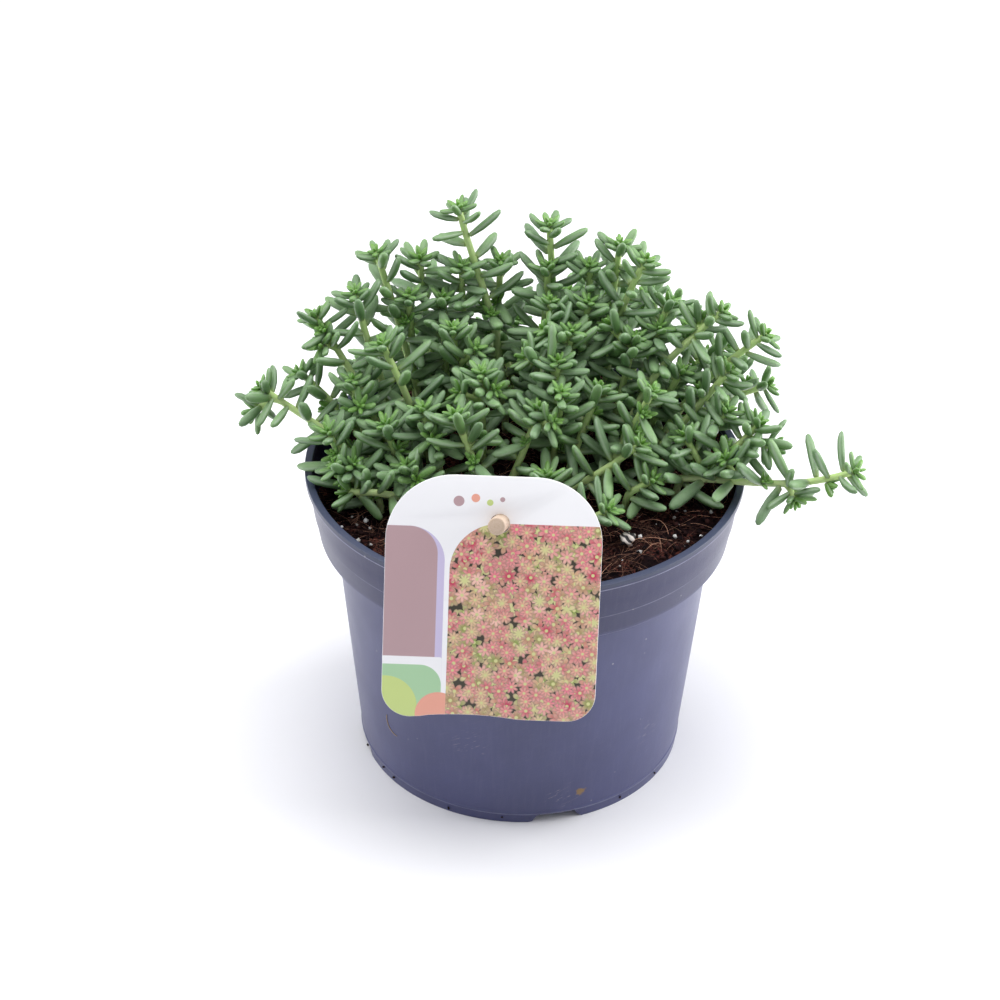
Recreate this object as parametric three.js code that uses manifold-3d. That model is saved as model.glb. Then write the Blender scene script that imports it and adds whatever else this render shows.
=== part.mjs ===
// A clump of white stonecrop in a plastic nursery pot, with a plant label pinned to the soil by a peg.
// Millimetres, +Z up. Sizes are worked out about the pot's axis, with z = 0 under its foot ring, and the
// whole plant is moved at the end so that the origin is the middle of its footprint on the ground.
import * as THREE from 'three';
import { mergeVertices } from 'three/addons/utils/BufferGeometryUtils.js';
import Module from 'manifold-3d';

const DEGREE = Math.PI / 180;
// Gap between two pieces that touch, so that their solids stay apart.
const GAP = 0.3;

// Pot
const POT_HEIGHT = 97;
const LIP_RADIUS = 65;
const LIP_HEIGHT = 2.4;
const LIP_WIDTH = 2.2;
const WALL = 0.9;
const COLLAR_TOP_RADIUS = 64.1;
const COLLAR_FOOT_RADIUS = 61.2;
const COLLAR_HEIGHT = 20.8;
const BODY_TOP_RADIUS = 56.4;
const BODY_FOOT_RADIUS = 49.3;
const FOOT_RADIUS = 49.1;
const FOOT_HEIGHT = 3.2;
const FOOT_WIDTH = 1.8;
const FLOOR_THICKNESS = 1.2;
const LIP_STEP = 0.5;
const LIP_ROUNDING = 0.65;
const INNER_EDGE_DROP = 1;
const INNER_EDGE_INSET = 0.4;
const STEP_SLOPE = 0.2;
const POT_SEGMENTS = 40;
const FOOT_GAPS = 4;
const FOOT_GAP_TURN = 13 * DEGREE;
const FOOT_GAP_WIDTH = 15;
const FOOT_GAP_SLOPE = 1.8;
const FOOT_GAP_HEIGHT = 2.8;
const FOOT_GAP_REACH = 8;
const DRAIN_HOLES = 6;
const DRAIN_RADIUS = 4.5;
const DRAIN_CIRCLE = 34;
const DRAIN_SEGMENTS = 14;

// Soil
const SOIL_LEVEL = 92.6;
const SOIL_TILT = 0.03;
const SOIL_DIP = 4.5;
const SOIL_DIP_PLACE = { x: -58, y: 2, spread: 18 };
const SOIL_ROUGHNESS = 0.7;
const SOIL_LUMPS = { x: 7, y: 9 };
const SOIL_CLODS = { x: 3.1, y: 4.3, share: 0.6 };
const SOIL_SEGMENTS = 24;
const SOIL_RINGS = [0.8, 0.45];
const SOIL_EDGE_HEIGHT = 84;

// Stems and leaves
const STEM_RADIUS = 1;
const STEM_SIDES = 4;
const STEM_STEP = 11;
const ROOT_DEPTH = 8;
const SOCKET_RADIUS = STEM_RADIUS + 0.6;
const ROOT_TOP = 1;
const ROOT_RISE = 5;
const SAMPLE_STEP = 5;
const STEM_ROOM = 1.5;
const TIP_ROOM = 3;
const SPREAD_ROUNDS = 60;
const SPREAD_PUSH = 0.45;
const SPREAD_SMOOTHING = 0.2;
const SPREAD_RETURN = 0.03;
const SIDE_BEND = 0.35;
const CORNER_CUT = 0.25;
const LEAF_RADIUS = 1.4;
const LEAF_SIDES = 4;
const LEAF_LENGTH = 11;
const ROSETTE_LEAF_LENGTH = 8.5;
const ROSETTE_LEAVES = 3;
const ROSETTE_LIFT = 30 * DEGREE;
const LEAF_LIFT = 15 * DEGREE;
const LEAF_WIDEST = 0.65;
const SIDE_FIRST_LEAF = 0.45;
const LEAF_STEP = 7;
const FIRST_LEAF = 9;
const MOST_STEM_LEAVES = 3;
const LEAF_CLEARANCE = 0.4;
const LEAF_WALL_CLEARANCE = 1;
const LEAF_TEST_SHARES = [0.15, 0.4, 0.7, 1];
const BUD_RADIUS = 2.3;
const BUD_LENGTH = 6;
const BUD_SIDES = 5;
const BUD_WIDEST = 0.5;
const GOLDEN_TURN = 137.5 * DEGREE;

// Label and peg
const LABEL_WIDTH = 60;
const LABEL_HEIGHT = 71;
const LABEL_THICKNESS = 0.5;
const LABEL_TOP_RADIUS = 19;
const LABEL_FOOT_RADIUS = 8;
const LABEL_FOOT_ARCH = 1.6;
const LABEL_LEAN = 18 * DEGREE;
const LABEL_ROLL = 1.2 * DEGREE;
const LABEL_HOLE = new THREE.Vector3(-7.1, -59.1, 116.3);
const LABEL_HOLE_RADIUS = 3.1;
const LABEL_HOLE_BELOW_TOP = 13.5;
const LABEL_HOLE_OFF_CENTRE = 1.5;
const LABEL_CURVE_SEGMENTS = 8;
const PEG_RADIUS = 2.5;
const PEG_PROUD = 6;
const PEG_LENGTH = 72;
const PEG_SLOPE = 26 * DEGREE;
const PEG_TURN = 10 * DEGREE;
const PEG_SIDES = 16;
const PEG_SOCKET_RADIUS = PEG_RADIUS + 0.5;

// Each shoot is rooted at root, passes through via and ends at tip. A side sprout leaves the stem at a share
// of its length and ends at its own tip.
const SHOOTS = [
  { name: 'crown', root: [-6, 24], via: [[-8, 28, 124], [-12, 31, 136], [-19, 36, 152]],
    tip: [-21, 38, 163] },
  { name: 'left_back_1', root: [-17, 33], via: [[-20, 32, 136]], tip: [-19, 33, 147] },
  { name: 'left_back_2', root: [-9, 38], via: [[-9, 36, 126]], tip: [-8, 37, 146] },
  { name: 'left_1', root: [-30, 24], via: [[-36, 26, 123], [-42, 29, 142]], tip: [-45, 30, 152] },
  { name: 'left_2', root: [-26, 38], via: [[-32, 35, 135]], tip: [-32, 36, 147] },
  { name: 'left_3', root: [-37, 14], via: [[-43, 16, 117], [-49, 21, 130]], tip: [-51, 22, 143] },
  { name: 'left_4', root: [-33, 31], via: [[-35, 25, 130]], tip: [-35, 26, 140] },
  { name: 'left_5', root: [-23, 26], via: [[-25, 28, 125]], tip: [-25, 28, 138] },
  { name: 'left_6', root: [-39, 5], via: [[-48, 12, 114], [-53, 16, 121]], tip: [-63, 20, 136],
    sides: [{ from: 0.72, tip: [-62, 14, 128] }] },
  { name: 'left_7', root: [-27, -4], via: [[-32, 0, 113], [-37, 6, 123]], tip: [-43, 8, 134] },
  { name: 'left_8', root: [-18, 12], via: [[-21, 15, 125]], tip: [-22, 16, 135],
    sides: [{ from: 0.55, tip: [-14, 12, 130] }] },
  { name: 'left_9', root: [-45, 11], via: [[-56, 9, 111]], tip: [-68, 14, 120] },
  { name: 'left_10', root: [-44, 2], via: [[-50, 3, 111]], tip: [-51, 4, 124],
    sides: [{ from: 0.6, tip: [-48, -3, 118] }] },
  { name: 'left_trailing', root: [-44, -6], via: [[-53, -3, 107], [-65, 2, 111]], tip: [-79, 6, 119],
    sides: [{ from: 0.78, tip: [-81, 6, 109] }] },
  { name: 'front_1', root: [-12, -3], via: [[-13, -5, 116]], tip: [-13, -2, 131],
    sides: [{ from: 0.62, tip: [-21, -3, 124] }, { from: 0.7, tip: [-8, -5, 126] }] },
  { name: 'front_2', root: [-34, -10], via: [[-40, -10, 109]], tip: [-41, -9, 117] },
  { name: 'front_3', root: [-48, -12], via: [[-54, -10, 104]], tip: [-58, -9, 114] },
  { name: 'front_4', root: [-42, -16], via: [[-50, -16, 98]], tip: [-56, -13, 107],
    sides: [{ from: 0.5, tip: [-49, -15, 107] }] },
  { name: 'front_5', root: [-29, -17], via: [[-34, -17, 101]], tip: [-35, -17, 108],
    sides: [{ from: 0.5, tip: [-31, -22, 105] }] },
  { name: 'front_6', root: [-29, -24], via: [[-38, -18, 101]], tip: [-53, -17, 98] },
  { name: 'front_7', root: [-10, -19], via: [[-15, -17, 108]], tip: [-21, -14, 124],
    sides: [{ from: 0.6, tip: [-13, -12, 116] }] },
  { name: 'front_8', root: [-24, -9], via: [[-28, -9, 112]], tip: [-30, -8, 122],
    sides: [{ from: 0.55, tip: [-27, -15, 115] }] },
  { name: 'front_9', root: [-5, -14], via: [[1, -12, 111]], tip: [4, -8, 123],
    sides: [{ from: 0.7, tip: [9, -14, 121] }] },
  { name: 'front_10', root: [8, -3], via: [[10, -7, 117]], tip: [10, -6, 127] },
  { name: 'front_11', root: [8, 6], via: [[9, 1, 121]], tip: [9, 3, 132],
    sides: [{ from: 0.7, tip: [-2, 7, 130] }] },
  { name: 'front_12', root: [12, -10], via: [[16, -6, 113]], tip: [22, 0, 125] },
  { name: 'front_13', root: [23, -9], via: [[29, -10, 112]], tip: [37, -6, 128] },
  { name: 'front_14', root: [11, -17], via: [[20, -18, 103]], tip: [34, -15, 115] },
  { name: 'front_15', root: [29, -20], via: [[34, -22, 102]], tip: [38, -21, 107] },
  { name: 'front_16', root: [18, -32], via: [], tip: [25, -33, 104] },
  { name: 'front_17', root: [7, -25], via: [], tip: [6, -22, 109] },
  { name: 'middle_1', root: [3, 17], via: [[6, 20, 128]], tip: [7, 22, 141] },
  { name: 'middle_2', root: [10, 31], via: [[8, 34, 132]], tip: [6, 38, 158] },
  { name: 'middle_3', root: [2, 27], via: [[6, 30, 132]], tip: [6, 32, 147] },
  { name: 'middle_4', root: [11, 10], via: [[12, 11, 127]], tip: [13, 12, 137],
    sides: [{ from: 0.75, tip: [4, 15, 135] }] },
  { name: 'middle_5', root: [14, 20], via: [], tip: [18, 22, 141] },
  { name: 'middle_6', root: [17, 35], via: [[19, 31, 137]], tip: [18, 31, 148] },
  { name: 'middle_7', root: [24, 28], via: [[25, 31, 135]], tip: [27, 32, 155] },
  { name: 'middle_8', root: [22, 15], via: [[25, 24, 134]], tip: [35, 26, 153] },
  { name: 'middle_9', root: [25, 8], via: [[29, 12, 122]], tip: [32, 14, 134],
    sides: [{ from: 0.7, tip: [23, 17, 136] }] },
  { name: 'right_1', root: [32, 19], via: [], tip: [39, 16, 136],
    sides: [{ from: 0.7, tip: [42, 23, 141] }] },
  { name: 'right_2', root: [27, 1], via: [[34, 8, 123], [46, 13, 131]], tip: [58, 16, 142],
    sides: [{ from: 0.75, tip: [52, 19, 138] }] },
  { name: 'right_3', root: [38, 6], via: [[48, 9, 118], [58, 13, 125]], tip: [71, 14, 135] },
  { name: 'right_4', root: [34, -3], via: [[48, 1, 113]], tip: [60, 6, 128],
    sides: [{ from: 0.65, tip: [50, 5, 122] }] },
  { name: 'right_5', root: [35, 11], via: [], tip: [46, 8, 126] },
  { name: 'right_6', root: [42, -4], via: [[55, -5, 107]], tip: [59, -2, 119] },
  { name: 'right_7', root: [44, -12], via: [[60, -9, 104]], tip: [69, -4, 116],
    sides: [{ from: 0.7, tip: [73, -6, 107] }] },
  { name: 'right_trailing', root: [34, -13], via: [[48, -13, 103], [68, -15, 100], [86, -16, 101]],
    tip: [97, -16, 107],
    sides: [
      { from: 0.3, tip: [45, -9, 115] },
      { from: 0.45, tip: [57, -14, 110] },
      { from: 0.62, tip: [79, -20, 97] },
    ] },
  { name: 'back_1', root: [-22, 47], via: [], tip: [-33, 59, 105],
    sides: [{ from: 0.6, tip: [-24, 62, 101] }] },
  { name: 'back_2', root: [-38, 35], via: [], tip: [-51, 45, 104],
    sides: [{ from: 0.6, tip: [-46, 37, 108] }] },
  { name: 'back_3', root: [-4, 47], via: [], tip: [-11, 63, 107],
    sides: [{ from: 0.6, tip: [-2, 60, 111] }] },
  { name: 'back_4', root: [8, 46], via: [[9, 55, 112]], tip: [10, 68, 116],
    sides: [{ from: 0.6, tip: [12, 55, 124] }] },
  { name: 'back_5', root: [20, 45], via: [[24, 53, 114]], tip: [29, 66, 119],
    sides: [{ from: 0.6, tip: [23, 52, 129] }] },
  { name: 'back_6', root: [30, 37], via: [[36, 45, 115]], tip: [47, 56, 120],
    sides: [{ from: 0.6, tip: [35, 43, 130] }] },
  { name: 'back_7', root: [39, 28], via: [[47, 32, 112]], tip: [62, 39, 116],
    sides: [{ from: 0.6, tip: [48, 31, 127] }] },
  { name: 'back_8', root: [45, 16], via: [[56, 20, 108]], tip: [74, 24, 111],
    sides: [{ from: 0.55, tip: [60, 24, 119] }] },
];

const FINISHES = {
  pot: new THREE.MeshStandardMaterial({ color: 0x6a6c88, roughness: 0.55, metalness: 0 }),
  soil: new THREE.MeshStandardMaterial({ color: 0x2a1c17, roughness: 0.95, metalness: 0 }),
  label: new THREE.MeshStandardMaterial({ color: 0xf4f4f7, roughness: 0.4, metalness: 0 }),
  peg: new THREE.MeshStandardMaterial({ color: 0xcdb49c, roughness: 0.6, metalness: 0 }),
  plant: new THREE.MeshStandardMaterial({ color: 0x5f8a52, roughness: 0.6, metalness: 0 }),
};

const library = await Module();
library.setup();

// Booleans

function solidOf(geometry) {
  const bare = geometry.clone();
  bare.deleteAttribute('normal');
  bare.deleteAttribute('uv');
  const merged = mergeVertices(bare, 1e-4);
  return new library.Manifold(new library.Mesh({
    numProp: 3,
    vertProperties: merged.attributes.position.array,
    triVerts: new Uint32Array(merged.index.array),
  }));
}

function geometryOf(solid) {
  const mesh = solid.getMesh();
  const geometry = new THREE.BufferGeometry();
  geometry.setAttribute('position', new THREE.BufferAttribute(mesh.vertProperties, 3));
  geometry.setIndex(new THREE.BufferAttribute(mesh.triVerts, 1));
  geometry.computeVertexNormals();
  return geometry;
}

// A closed outline of [radius, height] points turned about the Z axis.
function turned(outline, segments) {
  const points = outline.map(([radius, height]) => new THREE.Vector2(radius, height));
  return new THREE.LatheGeometry(points, segments).rotateX(Math.PI / 2);
}

// Moves a shape that stands on the origin along +Z so that it stands on start and points at end.
function aimed(geometry, start, end) {
  const direction = end.clone().sub(start).normalize();
  const turn = new THREE.Quaternion().setFromUnitVectors(new THREE.Vector3(0, 0, 1), direction);
  return geometry.applyQuaternion(turn).translate(start.x, start.y, start.z);
}

// Pot

function potOutline() {
  const collarFoot = POT_HEIGHT - COLLAR_HEIGHT;
  const lipFoot = POT_HEIGHT - LIP_HEIGHT;
  const floorTop = FOOT_HEIGHT + FLOOR_THICKNESS;
  return [
    [0, FOOT_HEIGHT],
    [FOOT_RADIUS - FOOT_WIDTH, FOOT_HEIGHT],
    [FOOT_RADIUS - FOOT_WIDTH, 0],
    [FOOT_RADIUS, 0],
    [FOOT_RADIUS, FOOT_HEIGHT],
    [BODY_FOOT_RADIUS, FOOT_HEIGHT + STEP_SLOPE],
    [BODY_TOP_RADIUS, collarFoot],
    [COLLAR_FOOT_RADIUS, collarFoot],
    [COLLAR_TOP_RADIUS, lipFoot],
    [LIP_RADIUS, lipFoot + LIP_STEP],
    [LIP_RADIUS, POT_HEIGHT - LIP_ROUNDING],
    [LIP_RADIUS - LIP_ROUNDING, POT_HEIGHT],
    [LIP_RADIUS - LIP_WIDTH + LIP_ROUNDING, POT_HEIGHT],
    [LIP_RADIUS - LIP_WIDTH, POT_HEIGHT - LIP_ROUNDING],
    [COLLAR_TOP_RADIUS - WALL - INNER_EDGE_INSET, lipFoot - INNER_EDGE_DROP],
    [COLLAR_FOOT_RADIUS - WALL, collarFoot + WALL],
    [BODY_TOP_RADIUS - WALL, collarFoot + WALL - STEP_SLOPE],
    [BODY_FOOT_RADIUS - WALL, floorTop],
    [0, floorTop],
  ];
}

function footGap(index) {
  const half = FOOT_GAP_WIDTH / 2;
  const slot = new THREE.Shape()
    .moveTo(-half, -FOOT_HEIGHT)
    .lineTo(half, -FOOT_HEIGHT)
    .lineTo(half, 0)
    .lineTo(half - FOOT_GAP_SLOPE, FOOT_GAP_HEIGHT)
    .lineTo(-half + FOOT_GAP_SLOPE, FOOT_GAP_HEIGHT)
    .lineTo(-half, 0)
    .closePath();
  return new THREE.ExtrudeGeometry(slot, { depth: FOOT_GAP_REACH, bevelEnabled: false })
    .rotateX(Math.PI / 2)
    .translate(0, FOOT_GAP_REACH / 2 - FOOT_RADIUS, 0)
    .rotateZ(FOOT_GAP_TURN + (index * 2 * Math.PI) / FOOT_GAPS);
}

function drainHole(index) {
  const turn = ((index + 0.5) * 2 * Math.PI) / DRAIN_HOLES;
  const middle = FOOT_HEIGHT + FLOOR_THICKNESS / 2;
  return new THREE.CylinderGeometry(DRAIN_RADIUS, DRAIN_RADIUS, 4 * FLOOR_THICKNESS, DRAIN_SEGMENTS)
    .rotateX(Math.PI / 2)
    .translate(DRAIN_CIRCLE * Math.cos(turn), DRAIN_CIRCLE * Math.sin(turn), middle);
}

function potSolid() {
  let solid = solidOf(turned(potOutline(), POT_SEGMENTS));
  for (let index = 0; index < FOOT_GAPS; index += 1) {
    solid = solid.subtract(solidOf(footGap(index)));
  }
  for (let index = 0; index < DRAIN_HOLES; index += 1) {
    solid = solid.subtract(solidOf(drainHole(index)));
  }
  return solid;
}

// Soil

function soilHeight(x, y) {
  const { x: dipX, y: dipY, spread } = SOIL_DIP_PLACE;
  const fromDip = (x - dipX) ** 2 + (y - dipY) ** 2;
  const dip = SOIL_DIP * Math.exp(-fromDip / (2 * spread ** 2));
  const lumps = Math.sin(x / SOIL_LUMPS.x + 1) * Math.cos(y / SOIL_LUMPS.y);
  const clods = SOIL_CLODS.share * Math.sin(x / SOIL_CLODS.x - y / SOIL_CLODS.y);
  return SOIL_LEVEL + SOIL_TILT * x - dip + SOIL_ROUGHNESS * (lumps + clods);
}

// The pot's inner wall, less the gap that the soil keeps to it.
function innerRadius(height) {
  const collarFoot = POT_HEIGHT - COLLAR_HEIGHT;
  const lipFoot = POT_HEIGHT - LIP_HEIGHT;
  const share = (height - collarFoot) / (lipFoot - collarFoot);
  const outside = COLLAR_FOOT_RADIUS + share * (COLLAR_TOP_RADIUS - COLLAR_FOOT_RADIUS);
  return outside - WALL - INNER_EDGE_INSET - GAP;
}

function soilSolid(sockets) {
  const stepHeight = POT_HEIGHT - COLLAR_HEIGHT + WALL + GAP;
  const edge = innerRadius(SOIL_LEVEL);
  const outline = [
    [0, FOOT_HEIGHT + FLOOR_THICKNESS + GAP],
    [BODY_FOOT_RADIUS - WALL - 2 * GAP, FOOT_HEIGHT + FLOOR_THICKNESS + GAP],
    [BODY_TOP_RADIUS - WALL - 2 * GAP, stepHeight - STEP_SLOPE],
    [COLLAR_FOOT_RADIUS - WALL - 2 * GAP, stepHeight + GAP],
    [innerRadius(SOIL_EDGE_HEIGHT), SOIL_EDGE_HEIGHT],
    [edge, SOIL_LEVEL],
    ...SOIL_RINGS.map((share) => [share * edge, SOIL_LEVEL]),
    [0, SOIL_LEVEL],
  ];
  const geometry = turned(outline, SOIL_SEGMENTS);
  const place = geometry.attributes.position;
  for (let index = 0; index < place.count; index += 1) {
    if (place.getZ(index) > SOIL_LEVEL - GAP) {
      const point = new THREE.Vector3().fromBufferAttribute(place, index);
      const height = soilHeight(point.x, point.y);
      const inwards = Math.min(1, innerRadius(height) / Math.max(1, Math.hypot(point.x, point.y)));
      place.setXYZ(index, inwards * point.x, inwards * point.y, height);
    }
  }
  return sockets.reduce((solid, socket) => solid.subtract(solidOf(socket)), solidOf(geometry));
}

// Label and peg

function labelTurn() {
  return new THREE.Matrix4()
    .makeTranslation(LABEL_HOLE)
    .multiply(new THREE.Matrix4().makeRotationX(Math.PI / 2 - LABEL_LEAN))
    .multiply(new THREE.Matrix4().makeRotationZ(-LABEL_ROLL));
}

function labelGeometry() {
  const right = LABEL_WIDTH / 2 - LABEL_HOLE_OFF_CENTRE;
  const left = right - LABEL_WIDTH;
  const top = LABEL_HOLE_BELOW_TOP;
  const foot = top - LABEL_HEIGHT;
  const outline = new THREE.Shape()
    .moveTo(left + LABEL_FOOT_RADIUS, foot)
    .quadraticCurveTo((left + right) / 2, foot + LABEL_FOOT_ARCH, right - LABEL_FOOT_RADIUS, foot)
    .quadraticCurveTo(right, foot, right, foot + LABEL_FOOT_RADIUS)
    .lineTo(right, top - LABEL_TOP_RADIUS)
    .absarc(right - LABEL_TOP_RADIUS, top - LABEL_TOP_RADIUS, LABEL_TOP_RADIUS, 0, Math.PI / 2)
    .absarc(left + LABEL_TOP_RADIUS, top - LABEL_TOP_RADIUS, LABEL_TOP_RADIUS, Math.PI / 2, Math.PI)
    .lineTo(left, foot + LABEL_FOOT_RADIUS)
    .quadraticCurveTo(left, foot, left + LABEL_FOOT_RADIUS, foot);
  outline.holes.push(new THREE.Path().absarc(0, 0, LABEL_HOLE_RADIUS, 0, 2 * Math.PI));
  const plate = { depth: LABEL_THICKNESS, bevelEnabled: false, curveSegments: LABEL_CURVE_SEGMENTS };
  return new THREE.ExtrudeGeometry(outline, plate)
    .translate(0, 0, -LABEL_THICKNESS / 2)
    .applyMatrix4(labelTurn());
}

function pegEnds() {
  const inwards = new THREE.Vector3(
    Math.sin(PEG_TURN) * Math.cos(PEG_SLOPE),
    Math.cos(PEG_TURN) * Math.cos(PEG_SLOPE),
    -Math.sin(PEG_SLOPE),
  );
  const face = LABEL_HOLE.clone().addScaledVector(inwards, -PEG_PROUD);
  return { face, foot: face.clone().addScaledVector(inwards, PEG_LENGTH), inwards };
}

function rod(radius, sides, start, end) {
  const length = start.distanceTo(end);
  const geometry = new THREE.CylinderGeometry(radius, radius, length, sides)
    .rotateX(Math.PI / 2)
    .translate(0, 0, length / 2);
  return aimed(geometry, start, end);
}

// Stem routes

// Rounds a line of points by cutting its corners, and keeps its two ends.
function roundedLine(points, rounds = 2) {
  let line = points;
  for (let round = 0; round < rounds; round += 1) {
    const cut = [line[0]];
    for (let index = 0; index < line.length - 1; index += 1) {
      cut.push(line[index].clone().lerp(line[index + 1], CORNER_CUT));
      cut.push(line[index + 1].clone().lerp(line[index], CORNER_CUT));
    }
    line = [...cut, line[line.length - 1]];
  }
  return line;
}

// Points at even distances along a line of points.
function evenPoints(line, step) {
  const lengths = [0];
  for (let index = 1; index < line.length; index += 1) {
    lengths.push(lengths[index - 1] + line[index].distanceTo(line[index - 1]));
  }
  const whole = lengths[lengths.length - 1];
  const count = Math.max(3, Math.round(whole / step));
  const points = [];
  for (let index = 0, piece = 1; index <= count; index += 1) {
    const at = (whole * index) / count;
    while (piece < line.length - 1 && lengths[piece] < at) {
      piece += 1;
    }
    const share = (at - lengths[piece - 1]) / (lengths[piece] - lengths[piece - 1]);
    points.push(line[piece - 1].clone().lerp(line[piece], share));
  }
  return points;
}

function stemRoute(shoot, number) {
  const [x, y] = shoot.root;
  const ground = soilHeight(x, y);
  const line = [
    new THREE.Vector3(x, y, ground + ROOT_TOP),
    new THREE.Vector3(x, y, ground + ROOT_TOP + ROOT_RISE),
    ...shoot.via.map((point) => new THREE.Vector3(...point)),
    new THREE.Vector3(...shoot.tip),
  ];
  return { shoot: number, side: false, points: evenPoints(roundedLine(line), SAMPLE_STEP) };
}

function sideRoute(stem, side, number) {
  const start = Math.round(side.from * (stem.points.length - 1));
  const base = stem.points[start];
  const along = stem.points[start + 1].clone().sub(base).normalize();
  const tip = new THREE.Vector3(...side.tip);
  const bend = base.clone().addScaledVector(along, SIDE_BEND * base.distanceTo(tip));
  const line = roundedLine([base.clone(), bend, tip]);
  return { shoot: number, side: true, start, points: evenPoints(line, SAMPLE_STEP) };
}

function roomAt(route, index) {
  return index >= route.points.length - 2 ? TIP_ROOM : STEM_ROOM;
}

// Pushes crowded stems apart, as light does when they grow. Roots stay where they are.
function spreadRoutes(routes, peg) {
  const homes = routes.map((route) => route.points.map((point) => point.clone()));
  for (let round = 0; round < SPREAD_ROUNDS; round += 1) {
    const moves = routes.map((route) => route.points.map(() => new THREE.Vector3()));
    routes.forEach((one, first) => {
      routes.slice(first + 1).forEach((other, offset) => {
        if (one.shoot !== other.shoot) {
          pushApart(one, other, moves[first], moves[first + 1 + offset]);
        }
      });
    });
    routes.forEach((route, number) => {
      const last = route.points.length - 1;
      const before = route.points.map((point) => point.clone());
      route.points.forEach((point, index) => {
        if (index < 2) {
          return;
        }
        const move = moves[number][index];
        move.add(pushFromRod(point, roomAt(route, index) + PEG_RADIUS, peg));
        const middle = before[index - 1].clone().add(before[Math.min(index + 1, last)]).multiplyScalar(0.5);
        if (index < last) {
          move.addScaledVector(middle.sub(before[index]), SPREAD_SMOOTHING);
        }
        move.addScaledVector(homes[number][index].clone().sub(before[index]), SPREAD_RETURN);
        point.add(move);
      });
    });
    routes.filter((route) => route.side).forEach((route) => {
      const stem = routes.find((other) => other.shoot === route.shoot && !other.side);
      const shift = stem.points[route.start].clone().sub(route.points[0]);
      route.points[0].add(shift);
      route.points[1].add(shift);
    });
  }
}

function pushApart(one, other, oneMoves, otherMoves) {
  one.points.forEach((here, index) => {
    other.points.forEach((there, otherIndex) => {
      const room = roomAt(one, index) + roomAt(other, otherIndex);
      const away = here.clone().sub(there);
      const distance = away.length();
      if (distance < room && distance > 0) {
        const push = (SPREAD_PUSH * (room - distance)) / distance;
        oneMoves[index].addScaledVector(away, push);
        otherMoves[otherIndex].addScaledVector(away, -push);
      }
    });
  });
}

function pushFromRod(point, room, peg) {
  const nearest = new THREE.Line3(peg.face, peg.foot).closestPointToPoint(point, true, new THREE.Vector3());
  const away = point.clone().sub(nearest);
  const distance = away.length();
  return distance < room ? away.multiplyScalar((room - distance) / distance) : away.set(0, 0, 0);
}

// Room around stems and leaves, each taken as a rod with round ends

function rodGap(one, other) {
  const u = one.end.clone().sub(one.start);
  const v = other.end.clone().sub(other.start);
  const w = one.start.clone().sub(other.start);
  const uu = u.dot(u);
  const uv = u.dot(v);
  const vv = v.dot(v);
  const uw = u.dot(w);
  const vw = v.dot(w);
  const skew = uu * vv - uv * uv;
  let s = skew > 1e-9 ? THREE.MathUtils.clamp((uv * vw - vv * uw) / skew, 0, 1) : 0;
  const t = THREE.MathUtils.clamp((uv * s + vw) / vv, 0, 1);
  s = THREE.MathUtils.clamp((uv * t - uw) / uu, 0, 1);
  const between = w.addScaledVector(u, s).addScaledVector(v, -t);
  return between.length() - one.radius - other.radius;
}

function stemRods(route) {
  return route.points.slice(1).map((end, index) => (
    { shoot: route.shoot, start: route.points[index], end, radius: STEM_RADIUS }
  ));
}

function budRod(route) {
  const tip = route.points[route.points.length - 1];
  const below = route.points[route.points.length - 2];
  const along = tip.clone().sub(below).normalize();
  return {
    shoot: route.shoot,
    start: tip.clone().addScaledVector(along, -STEM_RADIUS),
    end: tip.clone().addScaledVector(along, BUD_LENGTH - BUD_RADIUS - STEM_RADIUS),
    radius: BUD_RADIUS,
  };
}

function clearOfPotAndLabel(leaf) {
  return LEAF_TEST_SHARES.every((share) => {
    const point = leaf.start.clone().lerp(leaf.end, share);
    const out = Math.hypot(point.x, point.y);
    const overLip = point.z > POT_HEIGHT + leaf.radius + LEAF_CLEARANCE;
    const outside = out > LIP_RADIUS + leaf.radius + LEAF_CLEARANCE;
    const overSoil = out < innerRadius(POT_HEIGHT) - leaf.radius - LEAF_WALL_CLEARANCE
      && point.z > soilHeight(point.x, point.y) + leaf.radius + SOIL_ROUGHNESS + LEAF_CLEARANCE;
    const fromLabel = point.clone().applyMatrix4(labelTurn().invert());
    const behindLabel = fromLabel.z < -(leaf.radius + LEAF_CLEARANCE + LABEL_THICKNESS);
    return (overLip || outside || overSoil) && behindLabel;
  });
}

// Leaves

// Two unit vectors square to a direction.
function across(direction) {
  const helper = Math.abs(direction.z) < 0.9 ? new THREE.Vector3(0, 0, 1) : new THREE.Vector3(1, 0, 0);
  const first = helper.cross(direction).normalize();
  return [first, direction.clone().cross(first)];
}

function leafRod(route, distance, turn, lift, length) {
  const line = new THREE.CatmullRomCurve3(route.points);
  const share = THREE.MathUtils.clamp(distance / line.getLength(), 0, 1);
  const start = line.getPointAt(share);
  const along = line.getTangentAt(share);
  const [first, second] = across(along);
  const direction = first.multiplyScalar(Math.cos(turn)).addScaledVector(second, Math.sin(turn));
  direction.multiplyScalar(Math.cos(lift)).addScaledVector(along, Math.sin(lift));
  const end = start.clone().addScaledVector(direction, length);
  return { shoot: route.shoot, start, end, radius: LEAF_RADIUS };
}

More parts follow.
